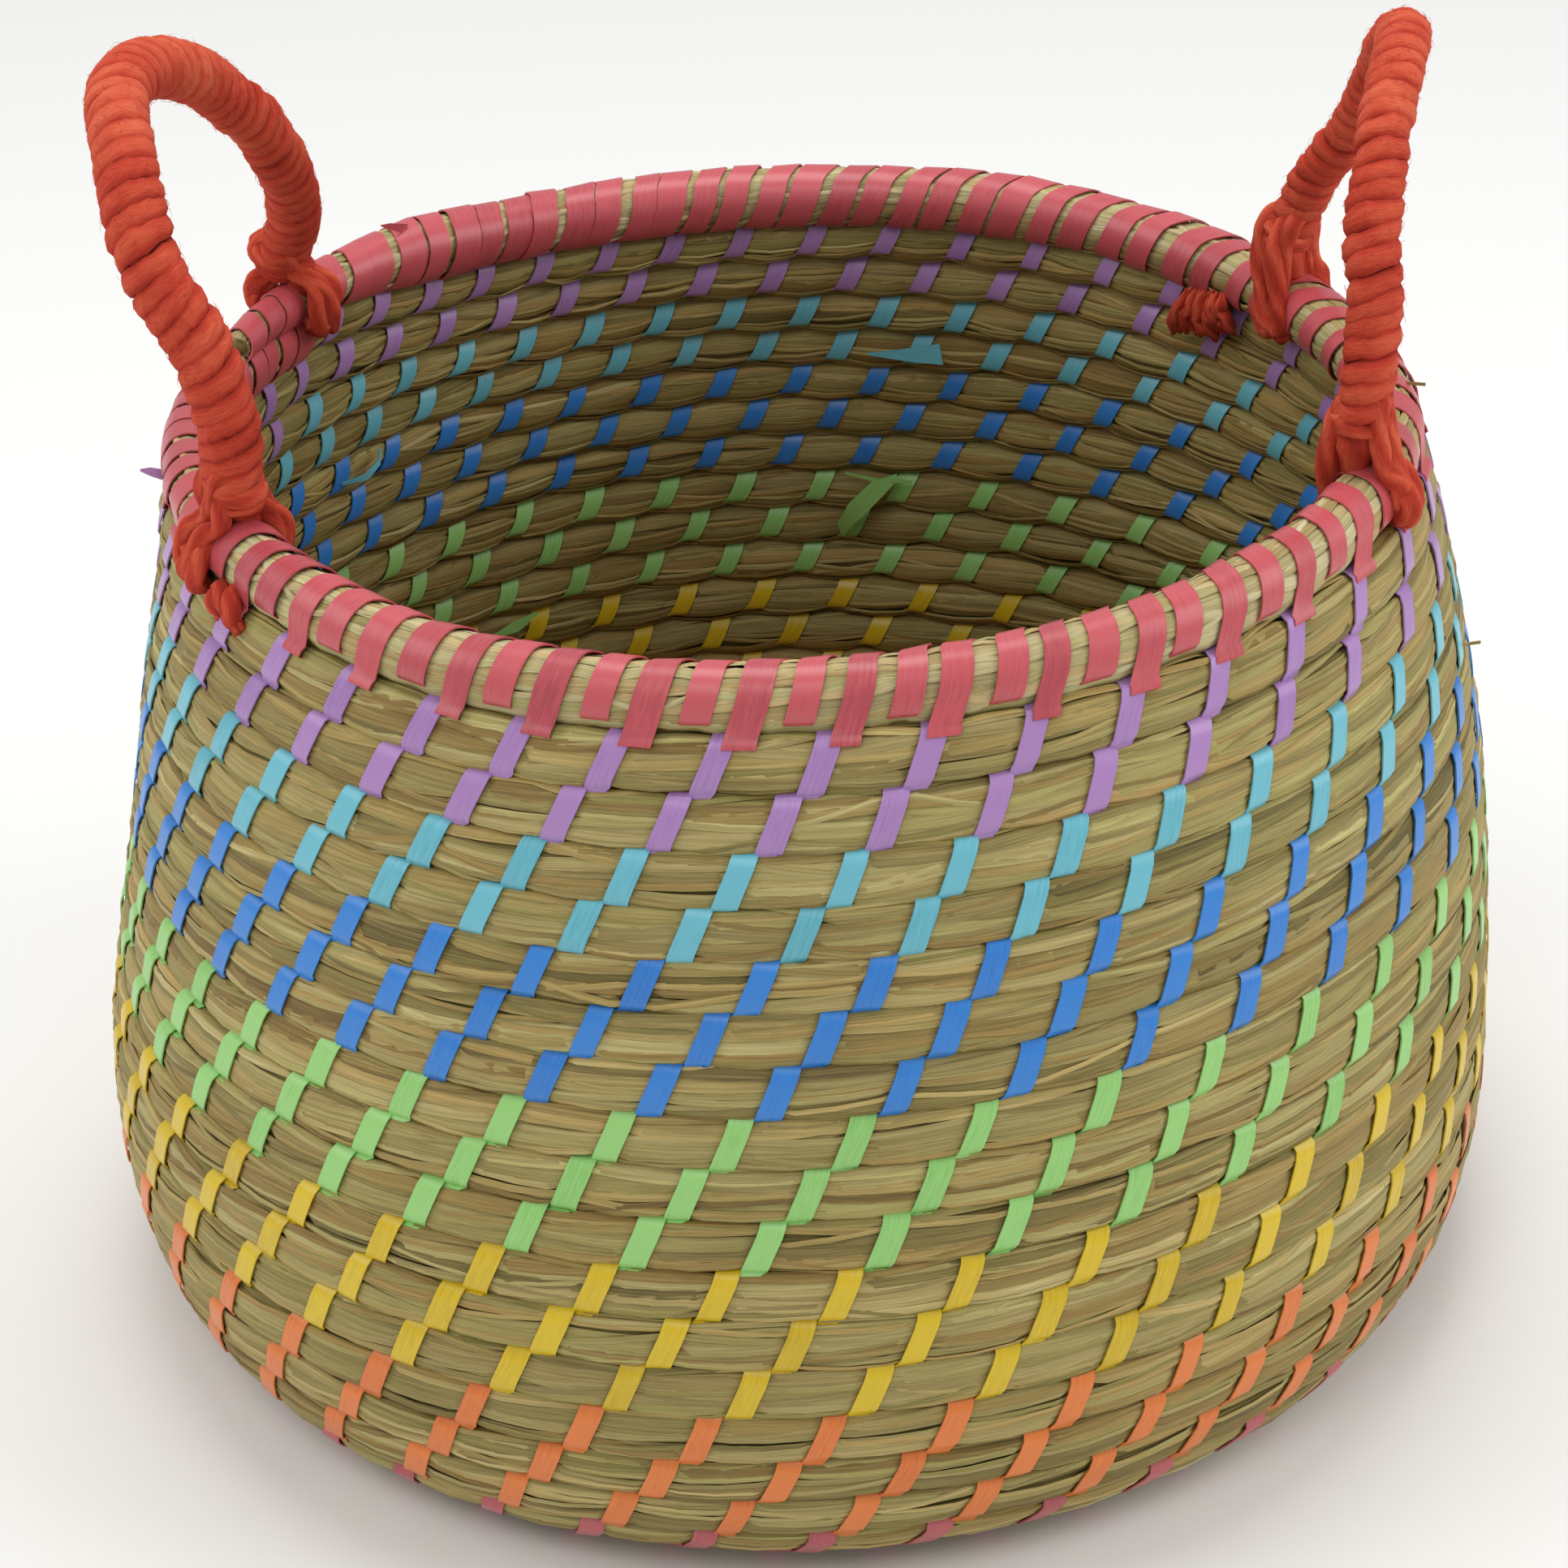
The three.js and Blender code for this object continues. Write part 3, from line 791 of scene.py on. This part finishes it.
for name, turns, path, aside in wrap_kinds:
    back = (1 + np.sin(azimuth_at(turns))) / 2
    shifted = turns - aside * back / stitches_per_turn
    widths = wrap_width + (back_width - wrap_width) * back
    wraps = lay_straps(name, shifted, widths, path, spread=0.12, slack=0.2)
    finish_piece(wraps, rim_strap)
    print(name, len(turns))

# %% [markdown]
# ## Handle routes
# A handle is a rope that rises from two feet on the rim. Its route is a short list of
# points, each given along the line between the feet, outwards and up, and one smooth
# curve runs through them. The joint gives the line that the feet stand on.

# %% Routes of the two handles
handle_routes = {
    "left": dict(
        front=207.9, rear=152.5, rise=71 * mm, reach=18 * mm, radius=6.7 * mm,
        route=[
            (-1, 0, 0), (-1, 0.22, 0.005), (-0.99, 0.42, 0.215), (-0.95, 0.6, 0.59), (-0.87, 0.755, 0.82),
            (-0.7, 0.895, 0.98), (-0.43, 0.985, 1.14), (-0.16, 0.99, 1.03), (0.14, 0.895, 0.6),
            (0.42, 0.68, 0.13), (0.67, 0.43, -0.21), (0.87, 0.2, -0.25), (1, 0, 0),
        ],
    ),
    "right": dict(
        front=338.2, rear=24.5, rise=58.5 * mm, reach=12.8 * mm, radius=5.9 * mm,
        route=[
            (-1, 0, 0), (-0.99, 0.18, 0.13), (-0.95, 0.35, 0.22), (-0.88, 0.52, 0.22), (-0.76, 0.71, 0.25),
            (-0.59, 0.875, 0.45), (-0.31, 1.02, 0.81), (0, 1.065, 1.12), (0.3, 0.955, 1.2),
            (0.6, 0.67, 1.04), (0.8, 0.4, 0.69), (0.94, 0.18, 0.28), (1, 0, 0),
        ],
    ),
}


def rim_turn(degrees):
    share = (math.radians(degrees) - seam_angle) / math.tau
    return rim_start + share - math.floor(share)


def smooth_curve(points, samples=40):
    """A centripetal Catmull-Rom curve through the points."""
    points = np.array(points, float)
    padded = np.concatenate([[2 * points[0] - points[1]], points, [2 * points[-1] - points[-2]]])
    pieces = []
    for p0, p1, p2, p3 in zip(padded, padded[1:], padded[2:], padded[3:]):
        gaps = [math.sqrt(np.linalg.norm(b - a)) for a, b in ((p0, p1), (p1, p2), (p2, p3))]
        m1 = (p1 - p0) / gaps[0] - (p2 - p0) / (gaps[0] + gaps[1]) + (p2 - p1) / gaps[1]
        m2 = (p2 - p1) / gaps[1] - (p3 - p1) / (gaps[1] + gaps[2]) + (p3 - p2) / gaps[2]
        m1, m2 = m1 * gaps[1], m2 * gaps[1]
        t = np.linspace(0, 1, samples, endpoint=False)[:, None]
        a = 2 * p1 - 2 * p2 + m1 + m2
        b = -3 * p1 + 3 * p2 - 2 * m1 - m2
        pieces.append(a * t**3 + b * t**2 + m1 * t + p1)
    return np.concatenate(pieces + [points[-1:]])


def run_along(points):
    """The distance from a line's start to each of its points."""
    return np.concatenate([[0], np.cumsum(np.linalg.norm(np.diff(points, axis=0), axis=1))])


def resampled(points, steps):
    """The line in equal steps, and the distance from its start to each of them."""
    run = run_along(points)
    even = np.linspace(0, run[-1], steps + 1)
    return np.stack([np.interp(even, run, points[:, i]) for i in range(3)], -1), even


def evenly(points, spacing):
    return resampled(points, max(1, int(round(run_along(points)[-1] / spacing))))


def handle_line(side):
    """Points along a handle, and its two feet, in the basket's frame."""
    shape = handle_routes[side]
    joint = next(j for j in frame["joints"] if j["child"] == f"{side}_handle")
    pivot, axis = np.array(joint["pos_m"]), unit(np.array(joint["axis"]))
    feet = []
    for key in ("front", "rear"):
        centre = coil_frame(rim_turn(shape[key]))[0]
        feet.append(pivot + axis * np.dot(centre - pivot, axis))
    middle, chord = (feet[0] + feet[1]) / 2, feet[1] - feet[0]
    outward = np.array([middle[0], middle[1], 0])
    outward = unit(outward - chord * np.dot(outward, chord) / np.dot(chord, chord))
    x = unit(chord)
    z = np.cross(x, outward)
    if z[2] < 0:
        x, z = -x, -z
    toward = np.sign(np.dot(x, chord)) * np.linalg.norm(chord) / 2
    points = [
        middle + x * along * toward + outward * out * shape["reach"] + z * rise * shape["rise"]
        for along, rise, out in shape["route"]
    ]
    return smooth_curve(points), feet


handle_lines = {side: handle_line(side) for side in handle_routes}
for side, (line, _) in handle_lines.items():
    print(side, "handle top at", (line[:, 2].max() / mm).round(1), "mm")

# %% [markdown]
# ## Wool yarn
# The yarn is soft two-ply wool, fuzzy and quite matt. Fibres cross the strand at a slant,
# and the deep places between strands are painted darker, as painted shade. Fine hairs
# stand off it all over.


# %% Yarn and rope materials
def yarn_material(name, stops):
    """Spun wool: quite matt, its fibres slanting across the strand."""
    material, tree, uv, tint = new_material(name)
    fibres = streaks(tree, uv, 500, 2600, 3.0, math.radians(24))
    shade = added_up(tree, tint, 0.75, [(0.6, fibres), (0.5, patches(tree, 90.0))], 0.42)
    looks = {"Base Color": ramp_colour(tree, shade, stops), "Roughness": 0.95}
    looks.update({"IOR": 1.5, "Specular IOR Level": 0.25})
    add_surface(tree, looks, (0.7, 0.3 * mm, fibres))
    return material


wool_stops = [(0.0, "#7E1C13"), (0.45, "#B83C29"), (0.75, "#CE5A3E"), (1.0, "#DE7A58")]
wool_yarn = yarn_material("wool_yarn", wool_stops)
jute_rope = yarn_material("jute_rope", [(0.0, "#6B5532"), (0.5, "#A98F62"), (1.0, "#D2BC8E")])
print("wool yarn and jute rope ready")

# %% [markdown]
# ## Strands along a line
# A strand is the rod again, bent along any line. A frame is carried along the line without
# twisting, and the rod's corners are set out from it. Slow waves keep every strand a little
# uneven, as yarn wound by hand is, and three soft lobes show how it is spun; the grooves
# between the lobes are painted darker, as painted shade.


# %% Strands
ply_length = 11 * mm
hair_thick = 0.05 * mm


def carried_frames(points):
    """Two directions square to the line at each of its points, carried without twist."""
    tangent = unit(np.gradient(points, axis=0))
    start = np.cross(tangent[0], [0, 0, 1])
    if np.linalg.norm(start) < 0.1:
        start = np.cross(tangent[0], [1, 0, 0])
    sides = [unit(start)]
    for direction in tangent[1:]:
        side = sides[-1] - direction * np.dot(sides[-1], direction)
        sides.append(unit(side))
    side = np.array(sides)
    return side, np.cross(tangent, side)


def uneven(x, seed):
    """A smooth uneven wave between about -1 and 1, the same on each run."""
    phases = np.random.default_rng(seed).uniform(0, 6.28, 4)
    rates = (1.0, 1.7, 2.9, 4.3)
    weights = (0.4, 0.3, 0.2, 0.1)
    return sum(w * np.sin(rate * x + phase) for w, rate, phase in zip(weights, rates, phases))


def strand(points, rings, radius, seed, sides=10, fade=0.25):
    """One soft strand along a line: places, UV map, tint and rod. Its ends thin to fade."""
    points, even = resampled(points, rings)
    side, other = carried_frames(points)
    template = rod(sides, rings)
    x, y, _, ring, _ = template
    lobes = 1 + 0.09 * np.cos(3 * np.arctan2(y, x) + math.tau * even[ring] / ply_length)
    thin = fade + (1 - fade) * smooth_step(np.minimum(even, even[-1] - even) / (2.5 * radius))
    size = (radius * thin * (1 + 0.14 * uneven(even / (5 * mm), seed)))[ring] * lobes
    place = points[ring] + side[ring] * (x * size)[:, None] + other[ring] * (y * size)[:, None]
    uv = np.stack([even[ring], np.arctan2(y, x) * radius], -1)
    # Painted shade: the tint follows the lobes, so the grooves between the plies are painted darker and
    # their crests lighter.
    tint = np.clip(0.5 + 3 * (lobes - 1) + 0.2 * uneven(even[ring] / (7 * mm), seed + 5), 0, 1)
    return place, uv, tint, template


def strands_mesh(name, strands):
    """One mesh of several strands that have the same rod."""
    place, uv, tint = (np.array([entry[i] for entry in strands]) for i in range(3))
    return copies_mesh(name, strands[0][3], place, uv, tint)


def hairs(surface, outward, number, length_range):
    """Fine hairs that start on a surface and curl away from it: places, UV map and rod."""
    hair_rod = rod(3, 4)
    pick = rng.integers(0, len(surface), number)
    root, out = surface[pick], outward[pick]
    length = rng.uniform(*length_range, number)[:, None] * mm
    sideways = rng.normal(0, 1, (number, 3))
    sideways = unit(sideways - out * np.sum(sideways * out, 1, keepdims=True))
    curl = rng.uniform(0.05, 0.5, number)[:, None]
    x, y, z, _, _ = hair_rod
    t = z[None, :, None]
    line = root[:, None] + sideways[:, None] * (length[:, None] * t)
    line = line + out[:, None] * (length * curl)[:, None] * np.sin(t * 2.3) * 0.6
    other = np.cross(sideways, out)
    thin = hair_thick * (1 - 0.6 * z)
    place = line + out[:, None] * (x * thin)[None, :, None] + other[:, None] * (y * thin)[None, :, None]
    uv = np.zeros((number, len(x), 2)) + rng.uniform(0, 1, (number, 1, 2))
    return place, uv, hair_rod


print("a hair's rod has", len(rod(3, 4)[0]), "points")

# %% [markdown]
# ## Wound handles
# Two strands of soft yarn are wound side by side round the rope. Each is flattened by the
# pull, overlaps its neighbour and lies unevenly. Over the top of the handle the yarn is
# felted nearly smooth by hands, and the winding closes over each end of the rope.

# %% One wound strand
wrap_pitch = 4.3 * mm
winding_starts = 2
yarn_width = 5.95 * mm
yarn_thick = 3.4 * mm
ring_gap = 1.2 * mm
closing_run = 4 * mm


def wound_strand(line, start, seed, handle_radius):
    """One strand wound round the handle's line: places, UV map, tint, rod and outward ways."""
    centre, run = evenly(line, 0.5 * mm)
    side, other = carried_frames(centre)
    tangent = np.cross(side, other)
    lead = wrap_pitch * winding_starts
    reach = handle_radius - yarn_thick / 2
    rings = int(run[-1] / lead * math.tau * reach / ring_gap)
    template = rod(10, rings)
    x, y, _, ring, _ = template
    even = np.linspace(0, run[-1], rings + 1)
    index = np.clip(np.rint(even / run[-1] * (len(centre) - 1)).astype(int), 0, len(centre) - 1)
    height = centre[index][:, 2]
    felted = smooth_step((height - 0.25 * height.min() - 0.75 * height.max()) / (0.2 * np.ptp(height)))
    phase = math.tau * (even / lead + start / winding_starts)
    phase = phase + (0.8 - 0.3 * felted) * uneven(even / (3.6 * mm), seed)
    from_end = np.minimum(even, run[-1] - even)
    closing = np.sqrt(np.clip(1 - (1 - np.minimum(from_end / closing_run, 1)) ** 2, 0.3, 1))
    slimmer = 0.5 * mm * smooth_step(even / run[-1] * 3 - 1.4)
    radius = reach * closing - slimmer + (0.7 - 0.35 * felted) * mm * uneven(phase * 0.8, seed + 1)
    width = yarn_width / 2 * (1 + 0.24 * uneven(phase * 1.3, seed + 2) + 0.18 * felted)
    thick = yarn_thick / 2 * (1 + 0.2 * uneven(phase * 1.1, seed + 3))
    radial = side[index] * np.cos(phase)[:, None] + other[index] * np.sin(phase)[:, None]
    lobes = 1 + 0.07 * np.cos(3 * np.arctan2(y, x) + phase[ring] * 2.2)
    out = radius[ring] + y * lobes * thick[ring]
    along = x * lobes * width[ring]
    places = centre[index][ring] + radial[ring] * out[:, None] + tangent[index][ring] * along[:, None]
    uv = np.stack([even[ring] / lead * math.tau * reach, x * yarn_width / 2], -1)
    # Painted shade: the yarn is painted dark except on its outer crown, where crease is 1, as shade in the
    # creases between strands; the felted top of the handle is tinted a little lighter.
    crease = np.clip((y - 0.5) / 0.5, 0, 1)
    tint = 0.15 + 0.5 * crease + 0.14 * uneven(phase[ring] * 0.7, seed + 4) + 0.14 * felted[ring]
    return places[None], uv[None], np.clip(tint, 0, 1), template, radial[ring]


print("turns of yarn to 10 cm of handle:", round(100 * mm / wrap_pitch))

# %% Winding both handles
rope_radius = 3.7 * mm
hair_count = 1300
hair_lengths = (0.7, 2.2)
past_end = np.array([1.4, 0.7])[:, None] * mm
for side, (line, _) in handle_lines.items():
    near_end = line[0] - unit(line[1] - line[0]) * past_end
    far_end = line[-1] - unit(line[-2] - line[-1]) * past_end[::-1]
    yarn_line = np.concatenate([near_end, line, far_end])
    body = f"{side}_handle"
    radius = handle_routes[side]["radius"]
    surface, outward = [], []
    for start in range(winding_starts):
        places, uv, tint, template, radial = wound_strand(yarn_line, start, 11 + 6 * start, radius)
        piece = copies_mesh(f"{side}_winding_{start + 1}", template, places, uv, tint)
        finish_piece(piece, wool_yarn, body, [f"{side}_handle_yarn"] if start == 0 else [])
        top = template[1] > 0.6
        surface.append(places[0][top])
        outward.append(radial[top])
    rope_line = evenly(line, 2.5 * mm)[0]
    core = strand(rope_line, len(rope_line) - 1, rope_radius, 3, fade=0.9)
    rope = strands_mesh(f"{side}_rope_core", [core])
    finish_piece(rope, jute_rope, body, [f"{side}_handle_rope"])
    surface, outward = np.concatenate(surface), np.concatenate(outward)
    places, uv, hair_rod = hairs(surface, outward, hair_count, hair_lengths)
    fuzz = copies_mesh(f"{side}_yarn_fuzz", hair_rod, places, uv, rng.uniform(0.3, 1, len(places)))
    finish_piece(fuzz, wool_yarn, body)
    print(side, "handle wound")

# %% [markdown]
# ## Lashings
# At each foot, strands of the same yarn come out from under the winding, hug the rim on both
# sides and go through the wall under it. The side that faces the front fans out to a band,
# and the other stays a tight cord. Nearly two more turns close the neck, and a thick strand
# fills it.

# %% One strand of a lashing
arm_route = [  # mm out from the rim's middle, mm up, and the share of the drop to add
    (7.0, 6.5, 0), (8.8, 2.5, 0), (9.4, 0, -0.2), (9.1, 0, -0.55), (8.2, 2, -1), (3.0, 0, -1),
]
arm_turn = math.radians(190)


def lash_arm(places, phase, shape, side_sign):
    """Points of one strand from inside the leg's end, down one side of the rim.

    The shape is its spread, drop, shift along the rim and how far it stands off, in mm.
    """
    spread, drop, aside, stand = shape
    foot, leg, centre, outward, upward = places
    along = np.cross(upward, outward)
    path = [
        foot + leg * 4.0 * mm + outward * side_sign * 3.0 * mm,
        foot - leg * 1.0 * mm + outward * side_sign * 4.6 * mm,
    ]
    for out, rise, share in arm_route:
        up = rise + share * drop
        path.append(centre + (outward * side_sign * out * stand + upward * up) * mm)
    points = []
    for i, point in enumerate(path):
        t = i / (len(path) - 1)
        fan = math.sin(math.pi * min(0.25 + 0.62 * t, 1)) ** 0.6 if t < 1 else 0
        turned = phase + arm_turn * t
        shift = along * spread * max(fan, 0.3) * math.cos(turned)
        shift = shift + outward * side_sign * 0.9 * math.sin(turned) * (0 < t < 1)
        shift = shift + along * aside * float(smooth_step(t / 0.5))
        points.append(point + shift * mm)
    return points


print("points on an arm:", len(arm_route) + 2)

# %% All strands of a lashing
lash_rings = 110
lash_count = 4
lash_radii = (1.9, 2.3)
neck_turns = 1.7


def lash_strands(places, outer_shape, inner_shape, radius):
    """The strands that hug the rim, the one round the neck and the thick one inside it."""
    foot, leg, centre, outward, upward = places
    strands = []
    for i in range(lash_count):
        phase = math.radians(90 * i + 40)
        outer = lash_arm(places, phase, outer_shape, 1)
        inner = lash_arm(places, phase + 1, inner_shape, -1)
        wobble = rng.normal(0, 0.35 * mm, (len(outer) * 2, 3))
        points = smooth_curve(np.array(outer[::-1] + inner) + wobble, 10)
        strands.append(strand(points, lash_rings, rng.uniform(*lash_radii) * mm, 40 + i))
    turns = np.linspace(0, neck_turns, 34)[:, None]
    angle = math.tau * turns
    across = unit(outward - leg * np.dot(outward, leg))
    ring = across * np.cos(angle) + np.cross(leg, across) * np.sin(angle)
    reach = (radius - 1.5 * mm) * (1 - 0.12 * turns)
    neck = foot + leg * (0.5 - 2.6 * turns) * mm + ring * reach
    strands.append(strand(neck, lash_rings, 1.9 * mm, 50))
    stem = foot + leg * np.linspace(4, -1, 6)[:, None] * mm
    stem = np.concatenate([stem, [centre + upward * 8 * mm, centre + upward * 3 * mm]])
    strands.append(strand(stem, lash_rings, 4.4 * mm, 52, fade=0.7))
    return strands


print("strands in a lashing:", lash_count + 2)

# %% The four lashings
lash_arms = {  # the outer and the inner arm: spread, drop, shift along the rim, stand-off
    "left_front": ((3.9, 9.2, -2.8, 1.0), (0.9, 7.0, 0.0, 0.9)),
    "left_rear": ((1.6, 6.0, 2.2, 0.92), (3.0, 4.0, 0.0, 0.85)),
    "right_front": ((3.2, 6.6, 0.0, 1.0), (1.1, 5.5, 0.0, 0.8)),
    "right_rear": ((0.9, 6.0, 2.4, 0.85), (4.3, 3.0, -2.4, 0.8)),
}
leg_point = 12  # on the handle's line, about 5 mm up the leg
for side, (line, feet) in handle_lines.items():
    leg_points = (line[leg_point], line[-leg_point - 1])
    for key, foot, inner_point in zip(("front", "rear"), feet, leg_points):
        turn = rim_turn(handle_routes[side][key])
        on_the_end = turn < rim_start + tip_turns  # here the rim's end lies on its own start
        turn = turn + on_the_end
        centre, outward, upward = coil_frame(turn)
        centre = centre + upward * bundle_size(turn)[2]
        print(side, key, "foot above the rim, mm:", (np.dot(foot - centre, upward) / mm).round(1))
        places = (foot, unit(inner_point - foot), centre, outward, upward)
        strands = lash_strands(places, *lash_arms[f"{side}_{key}"], handle_routes[side]["radius"])
        name = f"{side}_{key}_lashing"
        lashing = strands_mesh(f"{name}_yarn", strands)
        lashing.data.materials.append(wool_yarn)
        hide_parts(name)
        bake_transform(lashing)

# %% [markdown]
# ## Loose ends
# The maker left two tufts of yarn, a few cut strap ends and some stray fibres. Each is laid
# on the wall by its azimuth, how far it is down from the rim's top, and how far it stands
# off the middle of the wall. Only the tip of the rim's own strap is laid round the rim.


# %% A point on the wall, and the yarn tufts
def wall_point(degrees, down, out):
    """A point by azimuth, distance down the wall and distance out, both in mm."""
    run = np.array(last_turn * row_pitch - down * mm)
    centre, outward, _ = frame_at(run, np.array(math.radians(degrees)))
    return centre + outward * out * mm


tufts = {  # face, azimuth and mm down of both edges at the top and the end, strands, radius
    "left_yarn_tail": (1, [(209.8, 8.5), (212.4, 8.5)], [(210.6, 15.8), (215.6, 14.8)], 6, 2.0),
    "right_yarn_tail": (-1, [(33.0, 3.5), (38.5, 6.0)], [(33.0, 15.0), (43.0, 23.0)], 12, 1.5),
}
for name, (face, tops, ends, number, thickness) in tufts.items():
    strands = []
    for i in range(number):
        share = i / (number - 1)
        start = np.array(tops[0]) * (1 - share) + np.array(tops[1]) * share
        stop = np.array(ends[0]) * (1 - share) + np.array(ends[1]) * share + rng.normal(0, (0.5, 1.2))
        points = []
        for t in np.linspace(0, 1, 7):
            degrees, down = start * (1 - t) + stop * t + rng.normal(0, (0.25, 0.4)) * (t > 0)
            stand = 4.6 + 1.0 * t + 2.2 * math.sin(math.pi * min(t + 0.1, 1)) + (i % 3) * 0.7
            points.append(wall_point(degrees, down, face * stand))
        strands.append(strand(smooth_curve(points, 6), 26, thickness * mm, 60 + i, fade=0.45))
    tuft = strands_mesh(f"{name}_tuft", strands)
    finish_piece(tuft, wool_yarn, replaced=[name])
    print(name, "strands:", number)


# %% Flat strips
def ribbon(name, points, widths, material, face, thickness=strap_thick):
    """A flat strip along a line on the wall, with a width in mm at each of its points."""
    points = np.array(points)
    square = rod(4, len(points) - 1)
    x, y, z, ring, _ = square
    tangent = unit(np.gradient(points, axis=0))
    radial = points * np.array([1, 1, 0]) * face
    across = unit(np.cross(tangent, radial))
    up = np.cross(across, tangent)
    side = across[ring] * (np.sign(x) * np.array(widths)[ring] / 2 * mm)[:, None]
    place = points[ring] + side + up[ring] * (np.sign(y) * thickness / 2)[:, None]
    uv = np.stack([z * 0.02, x * 0.003], -1)
    piece = copies_mesh(name, square, place[None], uv[None], np.array([0.6]), crease=60)
    return finish_piece(piece, material)


# %% Cut strap ends
cut_ends = [  # name, strap, azimuth and mm down and out of each point, width in mm there
    ("cyan_strap_end", "cyan_strap",
     [(72.5, 42, -9.5), (75, 43, -9.3), (78, 44, -8.6), (81, 45, -7.4)], (5.5, 4.2, 2.4, 0.5)),
    ("green_strap_end", "green_strap",
     [(78.5, 83, -7.0), (80.5, 85, -10), (82.8, 91, -11), (84.3, 97, -9.5), (84.5, 102, -7)],
     (1.5, 4.6, 5.0, 3.4, 0.7)),
    ("green_sliver", "green_strap",
     [(84, 82, -7.8), (80.5, 83.5, -8.6), (77, 84, -7.6)], (0.5, 1.1, 0.5)),
    ("pale_green_end", "green_strap",
     [(123, 118, -8), (120, 116, -9), (117.5, 114, -8.5)], (0.6, 3.2, 0.6)),
    ("blue_strap_end", "cyan_strap",
     [(143.5, 54, -7), (141.5, 52, -10.5), (139.5, 50, -10), (138, 49, -7)], (0.8, 1.8, 1.5, 0.6)),
    ("purple_strap_tip", "purple_strap",
     [(186, 10, 4), (186, 10, 7.4), (186.3, 9.6, 10.4), (186.6, 9.4, 12.6)], (3.6, 3.2, 2.0, 0.4)),
]
for name, strap, spots, widths in cut_ends:
    face = 1 if spots[0][2] > 0 else -1
    line = [wall_point(*spot) for spot in spots]
    ribbon(name, line, widths, bpy.data.materials[strap], face)
tip = [(136.2, 88.0, 1.3), (137.8, 91.0, 3.0), (139.3, 93.0, 4.8), (140.8, 95.0, 6.6)]
line = [coil_point(np.array(rim_turn(spot[0])), np.array(spot[1]), spot[2] * mm) for spot in tip]
ribbon("rim_strap_tip", line, (2.2, 1.9, 1.4, 0.3), rim_strap, 1)
print("cut ends:", len(cut_ends) + 1)

# %% Stray fibres and the starting knot
fibres = [
    [(359, 0.5, 3), (358, 0.5, 8), (357, 1.5, 13)],
    [(349, 55, 5), (349.5, 54, 9), (350, 54.5, 12)],
    [(353, 1, 6), (356, 12, 7.6), (357, 26, 8.2), (356, 40, 7.4), (355, 50, 5.6)],
    [(350, 0, 6.4), (352, 9, 8.4), (353, 20, 8.2), (353, 30, 5.8)],
]
for i, spots in enumerate(fibres):
    points = smooth_curve([wall_point(*spot) for spot in spots], 6)
    widths = [0.7] * len(points)
    ribbon(f"stray_fibre_{i + 1}", points, widths, dried_seagrass, 1, 0.25 * mm)
middle = coil_frame(np.array(first_turn))[0]
curl = []
for t in np.linspace(0, 1, 9):
    angle = azimuth_at(first_turn) - 5.2 * t
    distance = np.hypot(middle[0], middle[1]) * (1 - t) ** 0.8
    curl.append((math.cos(angle) * distance, math.sin(angle) * distance, middle[2] - 0.2 * mm))
knot = strand(smooth_curve(curl, 6), 30, 4.6 * mm, 71, sides=14, fade=0.6)
finish_piece(strands_mesh("starting_knot", [knot]), dried_seagrass)
print("stray fibres:", len(fibres), "and the starting knot")

# %% [markdown]
# ## Floor, light and camera
# The basket stands on a pale floor under soft studio light: broad lights overhead and on
# each side, a weaker one over the front and a bright surround. So its rim and flanks are
# paler than its front, and the valleys between the rows stay dark.
# The camera looks down into the mouth, as a person standing over it would.

# %% Floor
sheet = bmesh.new()
bmesh.ops.create_grid(sheet, x_segments=1, y_segments=1, size=4)
floor_mesh = bpy.data.meshes.new("floor")
sheet.to_mesh(floor_mesh)
sheet.free()
floor = add_object("floor", floor_mesh)
floor_paint = bpy.data.materials.new("pale_floor")
floor_paint.use_nodes = True
floor_paint.node_tree.nodes.clear()
add_surface(floor_paint.node_tree, {"Base Color": colour("#F2F2F0"), "Roughness": 0.8})
floor.data.materials.append(floor_paint)
print("floor laid")


# %% Lights
def soft_light(name, place, target, size, power):
    light = bpy.data.lights.new(name, "AREA")
    light.shape = "DISK"
    light.size = size
    light.energy = power
    lamp = add_object(name, light)
    lamp.location = place
    lamp.rotation_euler = (Vector(target) - Vector(place)).to_track_quat("-Z", "Y").to_euler()


soft_light("left_light", (-1.4, -0.1, 1.1), (0, 0, 0.1), 1.1, 7)
soft_light("right_light", (1.4, -0.2, 1.0), (0, 0, 0.12), 1.1, 9)
soft_light("front_light", (-0.3, -1.2, 1.6), (0, 0, 0.1), 0.8, 5)
soft_light("top_light", (0, 0.3, 1.8), (0, 0, 0.2), 1.0, 12)
world = bpy.data.worlds.new("studio")
world.use_nodes = True
surround = world.node_tree.nodes["Background"].inputs
surround["Color"].default_value = colour("#FFFFFF")
surround["Strength"].default_value = 0.52
bpy.context.scene.world = world
bpy.context.scene.view_settings.view_transform = "Standard"
print("lights:", len(bpy.data.lights))

# %% Camera
camera_back = 0.8622
camera_rise = 0.3893
rim_front_height = float(outline(np.array((last_turn - 2 / 3) * row_pitch))[1])
camera_data = bpy.data.cameras.new("camera")
camera_data.lens = 99.88
camera_data.sensor_width = 36
camera = add_object("camera", camera_data)
camera.location = (0, -camera_back, rim_front_height + camera_rise)
look = Vector((-0.003, 0.875, -0.4841)).normalized()
above = Vector((0.0271, 0.484, 0.8746))
above = (above - look * above.dot(look)).normalized()
across = look.cross(above)
camera.rotation_euler = Matrix((across, above, -look)).transposed().to_euler()
bpy.context.scene.camera = camera
print("camera at", [round(v, 4) for v in camera.location])
